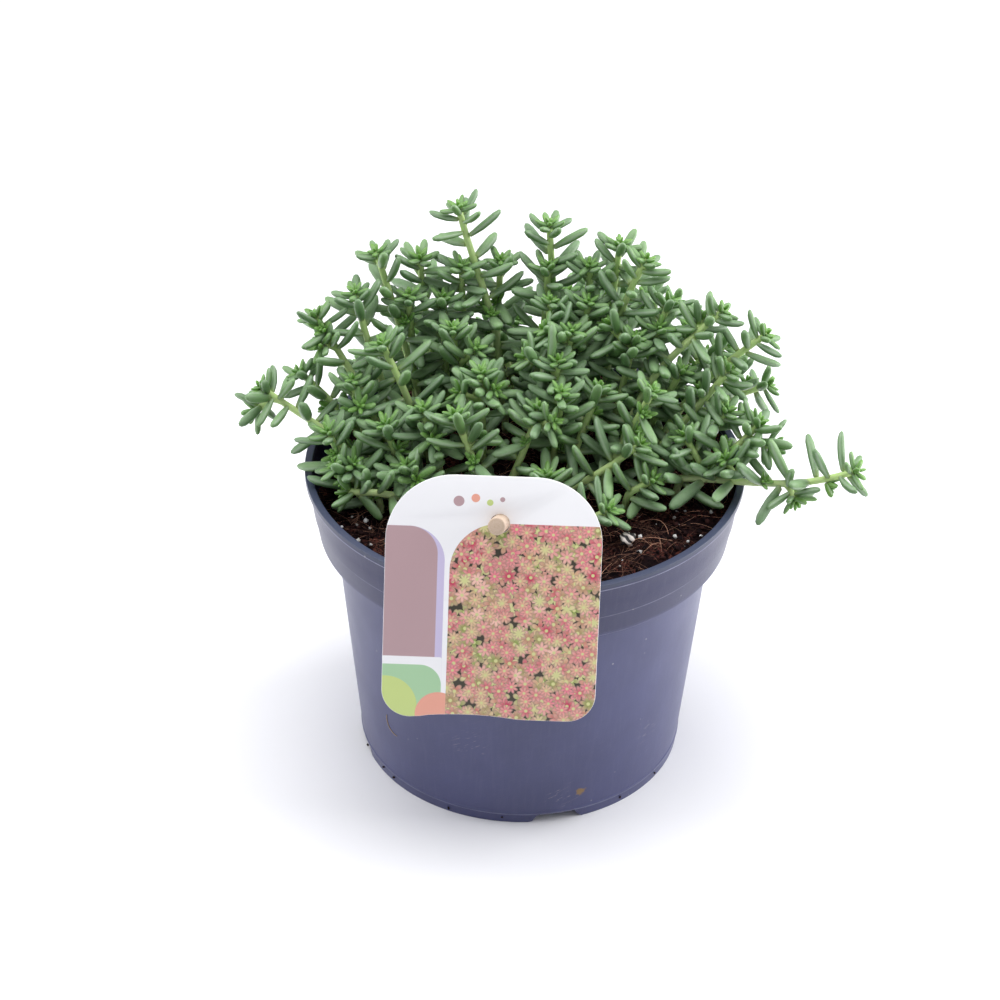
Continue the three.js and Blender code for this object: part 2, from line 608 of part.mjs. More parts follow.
function plannedLeaves(route) {
  const length = new THREE.CatmullRomCurve3(route.points).getLength();
  const leaves = [];
  for (let index = 0; index < ROSETTE_LEAVES; index += 1) {
    const turn = (index * 2 * Math.PI) / ROSETTE_LEAVES + route.shoot;
    leaves.push(leafRod(route, length - STEM_RADIUS, turn, ROSETTE_LIFT, ROSETTE_LEAF_LENGTH));
  }
  const lowest = route.side ? SIDE_FIRST_LEAF * length : FIRST_LEAF;
  for (let index = 0; index < MOST_STEM_LEAVES; index += 1) {
    const distance = length - LEAF_STEP * (index + 1);
    if (distance > lowest) {
      leaves.push(leafRod(route, distance, index * GOLDEN_TURN + 2 * route.shoot, LEAF_LIFT, LEAF_LENGTH));
    }
  }
  return leaves;
}

// Keeps only the leaves that have room beside every other shoot.
function grownLeaves(routes, peg) {
  const taken = [
    ...routes.flatMap(stemRods),
    ...routes.map(budRod),
    { shoot: -1, start: peg.face, end: peg.foot, radius: PEG_RADIUS },
  ];
  const kept = routes.map(() => []);
  routes.forEach((route, number) => {
    plannedLeaves(route).forEach((leaf) => {
      const others = taken.filter((rodOfOther) => rodOfOther.shoot !== leaf.shoot);
      const free = others.every((other) => rodGap(leaf, other) > LEAF_CLEARANCE);
      if (free && clearOfPotAndLabel(leaf)) {
        taken.push(leaf);
        kept[number].push(leaf);
      }
    });
  });
  return kept;
}

function leafGeometry(leaf) {
  const length = leaf.start.distanceTo(leaf.end) + leaf.radius;
  const outline = [[0, 0], [leaf.radius, LEAF_WIDEST * length], [0, length]];
  return aimed(turned(outline, LEAF_SIDES), leaf.start, leaf.end);
}

function budGeometry(bud) {
  const outline = [[0, 0], [BUD_RADIUS, BUD_WIDEST * BUD_LENGTH], [0, BUD_LENGTH]];
  return aimed(turned(outline, BUD_SIDES), bud.start, bud.end);
}

function stemGeometry(points) {
  const line = new THREE.CatmullRomCurve3(points, false, 'centripetal');
  const section = new THREE.Shape();
  for (let side = 0; side < STEM_SIDES; side += 1) {
    const turn = (side * 2 * Math.PI) / STEM_SIDES;
    section[side ? 'lineTo' : 'moveTo'](STEM_RADIUS * Math.cos(turn), STEM_RADIUS * Math.sin(turn));
  }
  section.closePath();
  const steps = Math.max(2, Math.round(line.getLength() / STEM_STEP));
  return new THREE.ExtrudeGeometry(section, { steps, extrudePath: line, bevelEnabled: false });
}

function shootSolid(routes, leaves) {
  const [stem] = routes;
  const root = stem.points[0].clone();
  root.z -= ROOT_DEPTH + ROOT_TOP;
  let solid = solidOf(stemGeometry([root, ...stem.points]));
  routes.slice(1).forEach((side) => {
    solid = solid.add(solidOf(stemGeometry(side.points)));
  });
  routes.forEach((route) => {
    solid = solid.add(solidOf(budGeometry(budRod(route))));
  });
  leaves.forEach((leaf) => {
    solid = solid.add(solidOf(leafGeometry(leaf)));
  });
  return solid;
}

function socketGeometry(route) {
  const foot = route.points[0].clone();
  foot.z -= ROOT_DEPTH + ROOT_TOP + GAP;
  const top = route.points[0].clone();
  top.z += ROOT_RISE;
  return rod(SOCKET_RADIUS, STEM_SIDES, foot, top);
}

// The whole plant

function piece(name, geometry, finish) {
  const mesh = new THREE.Mesh(geometry, finish);
  mesh.name = name;
  return mesh;
}

const peg = pegEnds();
const stems = SHOOTS.map(stemRoute);
const sides = SHOOTS.flatMap((shoot, number) => (
  (shoot.sides ?? []).map((side) => sideRoute(stems[number], side, number))
));
const routes = [...stems, ...sides];
spreadRoutes(routes, peg);
const leaves = grownLeaves(routes, peg);

const plant = new THREE.Group();
SHOOTS.forEach((shoot, number) => {
  const own = routes.filter((route) => route.shoot === number);
  const ownLeaves = routes.flatMap((route, index) => (route.shoot === number ? leaves[index] : []));
  plant.add(piece(`shoot_${shoot.name}`, geometryOf(shootSolid(own, ownLeaves)), FINISHES.plant));
});

const socketFoot = peg.foot.clone().addScaledVector(peg.inwards, GAP);
const pegSocket = rod(PEG_SOCKET_RADIUS, PEG_SIDES, LABEL_HOLE, socketFoot);
plant.add(piece('pot', geometryOf(potSolid()), FINISHES.pot));
plant.add(piece('soil', geometryOf(soilSolid([...stems.map(socketGeometry), pegSocket])), FINISHES.soil));
plant.add(piece('label', labelGeometry(), FINISHES.label));
plant.add(piece('label_peg', rod(PEG_RADIUS, PEG_SIDES, peg.face, peg.foot), FINISHES.peg));

const footprint = new THREE.Box3().setFromObject(plant, true).getCenter(new THREE.Vector3());
plant.position.set(-footprint.x, -footprint.y, 0);

const potted = new THREE.Group();
potted.add(plant);

export default potted;
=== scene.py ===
"""A clump of white stonecrop in a plastic nursery pot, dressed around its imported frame.

The pot, its soil, the plant label with its peg and every shoot of the plant are remade here in full detail,
where the frame has them. Inside the classes, lengths are millimetres about the pot's axis with z = 0 under
its foot, as in the frame's own drawing. A piece's mesh is turned into metres in the frame when it is placed.
"""

import logging
import math
from collections.abc import Iterable, Sequence
from dataclasses import dataclass, field
from enum import Enum
from typing import Any

import bmesh
import bpy
import numpy as np
from mathutils import Matrix, Vector, noise


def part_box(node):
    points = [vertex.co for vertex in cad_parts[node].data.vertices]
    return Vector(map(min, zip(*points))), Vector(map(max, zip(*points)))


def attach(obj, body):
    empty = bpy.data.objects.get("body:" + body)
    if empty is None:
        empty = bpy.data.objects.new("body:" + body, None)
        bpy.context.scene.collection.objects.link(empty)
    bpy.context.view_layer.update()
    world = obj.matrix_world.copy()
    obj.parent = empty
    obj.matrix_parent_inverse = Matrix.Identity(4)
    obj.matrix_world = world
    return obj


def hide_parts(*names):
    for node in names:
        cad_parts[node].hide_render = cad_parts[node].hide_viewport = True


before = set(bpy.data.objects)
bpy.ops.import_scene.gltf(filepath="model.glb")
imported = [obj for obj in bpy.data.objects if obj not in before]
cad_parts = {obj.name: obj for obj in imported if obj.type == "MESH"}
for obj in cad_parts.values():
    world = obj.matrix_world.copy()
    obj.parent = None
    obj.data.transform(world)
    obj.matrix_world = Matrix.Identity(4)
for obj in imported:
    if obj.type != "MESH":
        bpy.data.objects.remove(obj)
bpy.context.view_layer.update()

LOG = logging.getLogger("stonecrop")
MM = 0.001
SEED = 20
GOLDEN_TURN = math.radians(137.5)
FULL_TURN = 2 * math.pi
ABOUT_A_TURN = 6.3
SHARP_RIM = math.radians(60)

# Slanting directions that no stem, bud or leaf runs along, so that a cross product with them has a length.
STEM_SLANT = (0.31, 0.42, 0.85)
BUD_SLANT = (0.3, 0.8, 0.5)
LEAF_SLANT = (0.4, 0.5, 0.3)

Colour = tuple[float, float, float]
Point = tuple[float, float, float]
Socket = bpy.types.NodeSocket
Material = bpy.types.Material
Mesh = bpy.types.Mesh
Shape = bmesh.types.BMesh
Array = np.ndarray
Random = np.random.Generator


class Slot(Enum):
    """The material slots' names."""

    POT = "pot_plastic"
    SOIL = "potting_soil"
    LABEL = "label_plastic"
    PEG = "peg_wood"
    PLANT = "plant"


# Shaders


class Nodes:
    """A node tree with short ways to add nodes and join them."""

    def __init__(self, tree: bpy.types.NodeTree) -> None:
        """Works on one tree.

        Args:
            tree: the material's or the group's node tree.
        """
        self.tree = tree

    def add(self, kind: str, inputs: dict[Any, Any] | None = None, **settings: Any) -> bpy.types.Node:
        """Adds a node.

        Args:
            kind: the node's type name.
            inputs: a value or a socket for each input, by name or number.
            **settings: the node's own settings.

        Returns:
            The new node.
        """
        node = self.tree.nodes.new(kind)
        for name, value in settings.items():
            setattr(node, name, value)
        for key, value in (inputs or {}).items():
            self.feed(node.inputs[key], value)
        return node

    def feed(self, socket: Socket, value: Any) -> None:
        """Joins a socket to an input, or sets the input's value.

        Args:
            socket: the input.
            value: an output socket, a number or a colour.
        """
        if isinstance(value, bpy.types.NodeSocket):
            self.tree.links.new(value, socket)
        elif isinstance(value, tuple) and len(value) == 3 and socket.type == "RGBA":
            socket.default_value = (*value, 1.0)
        else:
            socket.default_value = value

    def maths(self, operation: str, *values: Any, clamp: bool = False) -> Socket:
        """Adds a Math node and gives its result.

        Args:
            operation: the node's operation.
            *values: its numbers or sockets.
            clamp: keeps the result from 0 to 1.

        Returns:
            The result's socket.
        """
        inputs = dict(enumerate(values))
        return self.add("ShaderNodeMath", inputs, operation=operation, use_clamp=clamp).outputs[0]

    def times(self, *values: Any, clamp: bool = False) -> Socket:
        """Multiplies two numbers."""
        return self.maths("MULTIPLY", *values, clamp=clamp)

    def plus(self, *values: Any) -> Socket:
        """Adds two numbers."""
        return self.maths("ADD", *values)

    def minus(self, *values: Any, clamp: bool = False) -> Socket:
        """Takes the second number from the first."""
        return self.maths("SUBTRACT", *values, clamp=clamp)

    def greater(self, *values: Any) -> Socket:
        """Gives the greater of two numbers."""
        return self.maths("MAXIMUM", *values)

    def vector_maths(self, operation: str, *values: Any) -> Socket:
        """Adds a Vector Math node.

        Args:
            operation: the node's operation.
            *values: its vectors or sockets.

        Returns:
            The Value output for LENGTH, DISTANCE and DOT_PRODUCT, and the Vector output for the others.
        """
        node = self.add("ShaderNodeVectorMath", dict(enumerate(values)), operation=operation)
        single = operation in ("LENGTH", "DISTANCE", "DOT_PRODUCT")
        return node.outputs["Value" if single else "Vector"]

    def mix(self, share: Any, first: Any, second: Any) -> Socket:
        """Mixes two colours.

        Args:
            share: how much of the second.
            first: the colour at 0.
            second: the colour at 1.

        Returns:
            The mixed colour's socket.
        """
        node = self.add("ShaderNodeMix", data_type="RGBA")
        for socket, value in zip((node.inputs["Factor"], *node.inputs[6:8]), (share, first, second)):
            self.feed(socket, value)
        return node.outputs[2]

    def band(self, value: Any, low: float, high: float, low_to: float = 0.0, high_to: float = 1.0) -> Socket:
        """Maps a value smoothly from one range to another.

        Args:
            value: the number to map.
            low: where the range starts.
            high: where it ends.
            low_to: the result at the start and below.
            high_to: the result at the end and above.

        Returns:
            The mapped number's socket.
        """
        inputs = {"Value": value, "From Min": low, "From Max": high, "To Min": low_to, "To Max": high_to}
        return self.add("ShaderNodeMapRange", inputs, interpolation_type="SMOOTHSTEP").outputs["Result"]

    def noise(self, place: Socket, scale: float, detail: float = 3.0, roughness: float = 0.5) -> Socket:
        """Adds a Noise Texture and gives its grey value.

        Args:
            place: the coordinates.
            scale: lumps to a unit of the coordinates.
            detail: how many finer layers.
            roughness: how strong they are.

        Returns:
            The noise's socket, from 0 to 1.
        """
        inputs = {"Vector": place, "Scale": scale, "Detail": detail, "Roughness": roughness}
        return self.add("ShaderNodeTexNoise", inputs).outputs[0]

    def own_value(self, name: str) -> Socket:
        """Gives the mesh's own attribute of this name."""
        return self.add("ShaderNodeAttribute", attribute_name=name).outputs["Fac"]

    def object_place(self) -> Socket:
        """Gives the Object coordinates, which are the frame's metres."""
        return self.add("ShaderNodeTexCoord").outputs["Object"]

    def bump(self, height: Socket, depth: float) -> Socket:
        """Turns a height from 0 to 1 into a normal.

        Args:
            height: the height's socket.
            depth: what 1 stands for, in metres.

        Returns:
            The normal's socket.
        """
        inputs = {"Height": height, "Distance": depth, "Strength": 1.0}
        return self.add("ShaderNodeBump", inputs).outputs["Normal"]


class ShaderGroups:
    """Node groups that several finishes share, each built once."""

    made: dict[str, bpy.types.NodeTree] = {}

    @classmethod
    def start(cls, name: str, takes: dict[str, float | None], gives: dict[str, str]) -> tuple:
        """Makes an empty group with its sockets.

        Args:
            name: the group's name.
            takes: the inputs, with a default number, or None for a vector.
            gives: the outputs, with their socket types.

        Returns:
            The group's nodes, and the sockets of its input node and of its output node.
        """
        tree = bpy.data.node_groups.new(name, "ShaderNodeTree")
        for label, default in takes.items():
            kind = "NodeSocketVector" if default is None else "NodeSocketFloat"
            socket = tree.interface.new_socket(label, in_out="INPUT", socket_type=kind)
            if default is not None:
                socket.default_value = default
        for label, kind in gives.items():
            tree.interface.new_socket(label, in_out="OUTPUT", socket_type=kind)
        nodes = Nodes(tree)
        cls.made[name] = tree
        return nodes, nodes.add("NodeGroupInput").outputs, nodes.add("NodeGroupOutput").inputs

    @classmethod
    def use(cls, nodes: Nodes, name: str, inputs: dict[str, Any]) -> bpy.types.bpy_prop_collection:
        """Places a group in a material and gives its outputs.

        Args:
            nodes: the material's nodes.
            name: the group's name.
            inputs: values and sockets for its inputs.

        Returns:
            The group node's outputs.
        """
        if name not in cls.made:
            {"fine_grain": cls.fine_grain, "specks": cls.specks, "petals": cls.petals}[name]()
        node = nodes.add("ShaderNodeGroup", node_tree=cls.made[name])
        for label, value in inputs.items():
            nodes.feed(node.inputs[label], value)
        return node.outputs

    @classmethod
    def fine_grain(cls) -> None:
        """Builds the uneven skin of moulded, cut and grown surfaces: a mottle and a small height."""
        takes = {"Place": None, "Mottle Scale": 60.0, "Grain Scale": 1500.0}
        gives = {"Mottle": "NodeSocketFloat", "Height": "NodeSocketFloat"}
        nodes, given, results = cls.start("fine_grain", takes, gives)
        mottle = nodes.noise(given["Place"], 1.0, 4.0, 0.6)
        nodes.feed(mottle.node.inputs["Scale"], given["Mottle Scale"])
        grain = nodes.noise(given["Place"], 1.0, 2.0, 0.7)
        nodes.feed(grain.node.inputs["Scale"], given["Grain Scale"])
        nodes.feed(results["Mottle"], nodes.band(mottle, 0.3, 0.7))
        nodes.feed(results["Height"], nodes.plus(grain, nodes.times(mottle, 0.6)))

    @classmethod
    def specks(cls) -> None:
        """Builds scattered specks: a few cells of a fine pattern hold a dot each."""
        takes = {"Place": None, "Scale": 300.0, "Share": 0.1, "Size": 0.3}
        nodes, given, results = cls.start("specks", takes, {"Mask": "NodeSocketFloat"})
        cells = nodes.add("ShaderNodeTexVoronoi", {"Vector": given["Place"], "Scale": given["Scale"]})
        pick = nodes.add("ShaderNodeSeparateColor", {0: cells.outputs["Color"]}).outputs[0]
        chosen = nodes.maths("LESS_THAN", pick, given["Share"])
        near = nodes.minus(given["Size"], cells.outputs["Distance"])
        dot = nodes.times(near, 8.0, clamp=True)
        nodes.feed(results["Mask"], nodes.times(dot, chosen))

    @classmethod
    def petals(cls) -> None:
        """Builds scattered round motifs with petals, for prints."""
        takes = {"Place": None, "Scale": 1.0, "Petals": 5.0, "Size": 0.5, "Depth": 0.4}
        gives = {label: "NodeSocketFloat" for label in ("Mask", "Inside", "Middle", "Pick")}
        nodes, given, results = cls.start("petals", takes, gives)
        inputs = {"Vector": given["Place"], "Scale": given["Scale"], "Randomness": 0.8}
        cells = nodes.add("ShaderNodeTexVoronoi", inputs, voronoi_dimensions="2D")
        away = nodes.vector_maths("SUBTRACT", given["Place"], cells.outputs["Position"])
        parts = nodes.add("ShaderNodeSeparateXYZ", {0: away}).outputs
        pick = nodes.add("ShaderNodeSeparateColor", {0: cells.outputs["Color"]}).outputs
        turn = nodes.plus(nodes.maths("ARCTAN2", parts[1], parts[0]), nodes.times(pick[1], 6.3))
        turn = nodes.times(turn, nodes.times(given["Petals"], 0.5))
        wave = nodes.maths("ABSOLUTE", nodes.maths("COSINE", turn))
        hollow = nodes.times(given["Depth"], nodes.minus(1.0, wave))
        reach = nodes.minus(1.0, hollow)
        edge = nodes.times(reach, given["Size"])
        inside = nodes.minus(edge, cells.outputs["Distance"])
        nodes.feed(results["Mask"], nodes.times(inside, 14.0, clamp=True))
        nodes.feed(results["Inside"], nodes.times(inside, 3.4, clamp=True))
        nodes.feed(results["Middle"], nodes.maths("DIVIDE", cells.outputs["Distance"], given["Size"]))
        nodes.feed(results["Pick"], pick[0])


class Coat(Nodes):
    """A new material's nodes, with its Principled shader."""

    def __init__(self, name: str, **fixed: Any) -> None:
        """Makes the material.

        Args:
            name: its name.
            **fixed: values that are alike all over, by input name with underscores for spaces.
        """
        self.material = bpy.data.materials.new(name)
        self.material.use_nodes = True
        super().__init__(self.material.node_tree)
        self.finished(**fixed)

    def finished(self, **values: Any) -> Material:
        """Feeds the shader.

        Args:
            **values: sockets and values, by input name with underscores for spaces.

        Returns:
            The material.
        """
        shader = self.tree.nodes["Principled BSDF"]
        for label, value in values.items():
            self.feed(shader.inputs[label.replace("_", " ")], value)
        return self.material

    def grain(self, place: Socket, scales: tuple[float, float]) -> bpy.types.bpy_prop_collection:
        """Places the group of fine grain.

        Args:
            place: the coordinates.
            scales: the scale of the mottle and that of the grain.

        Returns:
            The group's outputs, Mottle and Height.
        """
        inputs = {"Place": place, "Mottle Scale": scales[0], "Grain Scale": scales[1]}
        return ShaderGroups.use(self, "fine_grain", inputs)

    def specks(self, place: Socket, scale: float, share: float, size: float) -> Socket:
        """Places the group of scattered specks.

        Args:
            place: the coordinates.
            scale: the cells to a unit of the coordinates.
            share: how many of the cells hold a speck.
            size: a speck's radius, as a share of its cell.

        Returns:
            The mask.
        """
        inputs = {"Place": place, "Scale": scale, "Share": share, "Size": size}
        return ShaderGroups.use(self, "specks", inputs)["Mask"]


@dataclass(frozen=True)
class Finish:
    """What every finish has: a name, and a way to make its material."""

    name: str

    def build(self) -> Material:
        """Makes the material. Each finish has its own way."""
        raise NotImplementedError


@dataclass(frozen=True)
class PotPlastic(Finish):
    """Slate blue moulded plastic with dust, scratches and a stain; pale, patchy highlight lines are painted
    along its edges, and shade is painted on its collar and on its lip's top face.
    """

    collar_foot: float = 76.2
    base: Colour = (0.062, 0.067, 0.162)
    # Painted shade for the collar and for the lip's top face.
    collar_painted_shade: Colour = (0.016, 0.017, 0.070)
    lip_painted_shade: Colour = (0.044, 0.053, 0.098)
    # Pale tone of the streaks, and of the painted highlight lines along the edges.
    pale_streak_and_highlight: Colour = (0.26, 0.27, 0.38)
    dust: Colour = (0.42, 0.40, 0.40)
    stain: Colour = (0.24, 0.14, 0.035)
    stain_place: Point = (18.3, -46.9, 10.4)
    stain_radius: float = 2.5
    stain_edge: float = 0.4
    scratch_places: tuple[Point, ...] = ((12.5, -48.3, 10.2), (38.6, -34.4, 25.8), (-15.0, -49.0, 30.0))
    scuff_reach: float = 7.5
    edge_heights: tuple[float, ...] = (84.0, 76.4, 3.3)
    edge_width: float = 0.35
    lip_edge: float = 95.2
    lip_edge_width: float = 0.4
    shade_steps: tuple[float, float] = (2.0, 0.6)
    collar_painted_shade_share: float = 0.88
    uneven: float = 0.86
    streak: float = 0.035
    edge_highlight: float = 0.8
    scratch: float = 0.4
    dusting: float = 0.8
    staining: float = 0.85
    grain_scales: tuple[float, float] = (38.0, 2600.0)
    grain_depth: float = 0.00004
    roughness: float = 0.31
    mottled_roughness: float = 0.06
    worn_roughness: float = 0.3
    axis: Point = (0.0, 0.0, 0.0)

    def build(self) -> Material:
        """Makes the material.

        Returns:
            The plastic.
        """
        nodes = Coat(self.name, Specular_IOR_Level=0.5)
        place = nodes.object_place()
        own = nodes.vector_maths("SUBTRACT", place, self.axis)
        parts = nodes.add("ShaderNodeSeparateXYZ", {0: own}).outputs
        grain = nodes.grain(own, self.grain_scales)
        shade = nodes.mix(grain["Mottle"], self.base, tuple(self.uneven * part for part in self.base))
        # Painted shade: the collar is darkened from its foot up, and the lip's top face is darkened too.
        collar_step, lip_step = self.shade_steps
        collar_top = MM * (self.collar_foot + collar_step)
        collar = nodes.band(parts[2], MM * self.collar_foot, collar_top, 0.0, self.collar_painted_shade_share)
        shade = nodes.mix(collar, shade, self.collar_painted_shade)
        lip_foot = self.lip_edge + lip_step / 2
        lip = nodes.band(parts[2], MM * lip_foot, MM * (lip_foot + lip_step))
        shade = nodes.mix(lip, shade, self.lip_painted_shade)
        streaked = nodes.vector_maths("MULTIPLY", own, (900.0, 900.0, 25.0))
        streaks = nodes.band(nodes.noise(streaked, 1.0, 3.0, 0.6), 0.45, 0.75)
        scratches, dust = self.scratches(nodes, own), self.dusty(nodes, own)
        # The streaks, scratches, dust and stain are the plastic's own marks; the pale lines along the edges
        # are painted highlights.
        for mask, strength, colour in (
            (streaks, self.streak, self.pale_streak_and_highlight), (self.painted_edge_highlights(nodes, own, parts), self.edge_highlight, self.pale_streak_and_highlight),
            (scratches, self.scratch, self.dust), (dust, self.dusting, self.dust),
            (self.stained(nodes, own), self.staining, self.stain),
        ):
            shade = nodes.mix(nodes.times(mask, strength), shade, colour)
        rough = nodes.plus(self.roughness, nodes.times(grain["Mottle"], self.mottled_roughness))
        rough = nodes.plus(rough, nodes.times(nodes.greater(scratches, dust), self.worn_roughness))
        normal = nodes.bump(grain["Height"], self.grain_depth)
        return nodes.finished(Base_Color=shade, Roughness=rough, Normal=normal)

    def stained(self, nodes: Coat, own: Socket) -> Socket:
        """Marks the stain's uneven spot.

        Args:
            nodes: the material's nodes.
            own: the place about the pot's axis, in metres.

        Returns:
            The mask.
        """
        away = nodes.vector_maths("DISTANCE", own, tuple(MM * part for part in self.stain_place))
        wobble = nodes.times(nodes.noise(own, 900.0, 2.0), 0.0022)
        inner, outer = MM * (self.stain_radius - self.stain_edge), MM * (self.stain_radius + self.stain_edge)
        return nodes.band(nodes.plus(away, wobble), inner, outer, 1.0, 0.0)

    def painted_edge_highlights(self, nodes: Coat, own: Socket, parts: Sequence[Socket]) -> Socket:
        """Marks the thin, patchy highlight lines that are painted along the pot's edges.

        Args:
            nodes: the material's nodes.
            own: the place about the pot's axis, in metres.
            parts: its three parts.

        Returns:
            The mask.
        """
        marks: Socket | float = 0.0
        for height in self.edge_heights:
            away = nodes.maths("ABSOLUTE", nodes.minus(parts[2], MM * height))
            line = nodes.band(away, MM * 0.1, MM * self.edge_width, 1.0, 0.0)
            marks = nodes.greater(line, marks)
        patchy = nodes.band(nodes.noise(own, 55.0, 4.0, 0.7), 0.35, 0.62, 0.2, 0.7)
        off = nodes.maths("ABSOLUTE", nodes.minus(parts[2], MM * self.lip_edge))
        lip = nodes.band(off, MM * 0.1, MM * self.lip_edge_width, 1.0, 0.0)
        lip = nodes.times(lip, nodes.plus(patchy, 0.3))
        return nodes.greater(lip, nodes.times(marks, patchy))

    def scratches(self, nodes: Coat, own: Socket) -> Socket:
        """Marks fine scratches, thickest at the scuffed places.

        Args:
            nodes: the material's nodes.
            own: the place about the pot's axis, in metres.

        Returns:
            The mask.
        """
        slanted = nodes.add("ShaderNodeMapping", {"Vector": own, "Rotation": (0.3, 0.5, 0.2)}).outputs[0]
        drawn = nodes.vector_maths("MULTIPLY", slanted, (260.0, 260.0, 2600.0))
        lines = nodes.band(nodes.noise(drawn, 1.0, 2.0, 0.6), 0.60, 0.68)
        scuffed: Socket | float = 0.05
        for spot in self.scratch_places:
            away = nodes.vector_maths("DISTANCE", own, tuple(MM * part for part in spot))
            scuffed = nodes.greater(nodes.band(away, MM, MM * self.scuff_reach, 1.0, 0.0), scuffed)
        return nodes.times(lines, scuffed)

    def dusty(self, nodes: Coat, own: Socket) -> Socket:
        """Marks specks of dust.

        Args:
            nodes: the material's nodes.
            own: the place about the pot's axis, in metres.

        Returns:
            The mask.
        """
        return nodes.greater(nodes.specks(own, 420.0, 0.035, 0.16), nodes.specks(own, 150.0, 0.02, 0.08))


@dataclass(frozen=True)
class DampSoil(Finish):
    """Dark peat in a random mottle of near black and dark brown, red-brown in patches where it has crumbled.
    """

    # The near-black tone; a random mottle spreads it, not the hollows.
    hollow: Colour = (0.0022, 0.0012, 0.0022)
    crumb: Colour = (0.016, 0.006, 0.007)
    crumbled: Colour = (0.110, 0.034, 0.026)
    patch_scale: float = 95.0
    bit_scale: float = 1000.0
    grain_scales: tuple[float, float] = (420.0, 2400.0)
    grain_depth: float = 0.0009
    roughness: tuple[float, float] = (0.95, 0.62)

    def build(self) -> Material:
        """Makes the material.

        Returns:
            The soil.
        """
        nodes = Coat(self.name, Specular_IOR_Level=0.06)
        place = nodes.object_place()
        grain = nodes.grain(place, self.grain_scales)
        patches = nodes.band(nodes.noise(place, self.patch_scale, 3.0, 0.6), 0.46, 0.58)
        shade = nodes.mix(grain["Mottle"], self.hollow, self.crumb)
        bits = nodes.band(nodes.noise(place, self.bit_scale, 2.0, 0.7), 0.47, 0.62)
        shade = nodes.mix(nodes.times(patches, bits), shade, self.crumbled)
        rough = nodes.band(grain["Mottle"], 0.0, 1.0, *self.roughness)
        normal = nodes.bump(grain["Height"], self.grain_depth)
        return nodes.finished(Base_Color=shade, Roughness=rough, Normal=normal)


@dataclass(frozen=True)
class LitterFinish(Finish):
    """Small things in the soil, each with a tone of its own between two colours."""

    dark: Colour
    pale: Colour
    roughness: float = 0.75
    grain_depth: float = 0.0002
    grain_scales: tuple[float, float] = (700.0, 4000.0)
    mottled_tone: float = 0.35

    def build(self) -> Material:
        """Makes the material.

        Returns:
            The finish of fibres, grains or bark.
        """
        nodes = Coat(self.name, Specular_IOR_Level=0.1)
        place = nodes.object_place()
        grain = nodes.grain(place, self.grain_scales)
        tone = nodes.plus(nodes.own_value("chance"), nodes.times(grain["Mottle"], self.mottled_tone))
        shade = nodes.mix(nodes.band(tone, 0.0, 1.0 + self.mottled_tone), self.dark, self.pale)
        rough = nodes.band(grain["Mottle"], 0.0, 1.0, self.roughness, self.roughness - 0.2)
        normal = nodes.bump(grain["Height"], self.grain_depth)
        return nodes.finished(Base_Color=shade, Roughness=rough, Normal=normal)


@dataclass(frozen=True)
class StripedShell(Finish):
    """Chalky white with dark bands that run round the lump."""

    middle: Point
    chalk: Colour = (0.55, 0.50, 0.46)
    band_colour: Colour = (0.012, 0.010, 0.012)
    band_scale: float = 190.0
    wander: float = 3.5
    grain_depth: float = 0.0002

    def build(self) -> Material:
        """Makes the material.

        Returns:
            The striped finish.
        """
        nodes = Coat(self.name, Roughness=0.5)
        own = nodes.vector_maths("SUBTRACT", nodes.object_place(), self.middle)
        inputs = {"Vector": own, "Scale": self.band_scale, "Distortion": self.wander, "Detail": 2.0,
                  "Detail Scale": 2.0}
        waves = nodes.add("ShaderNodeTexWave", inputs, bands_direction="DIAGONAL").outputs["Fac"]
        shade = nodes.mix(nodes.band(waves, 0.34, 0.5), self.band_colour, self.chalk)
        return nodes.finished(Base_Color=shade, Normal=nodes.bump(waves, self.grain_depth))


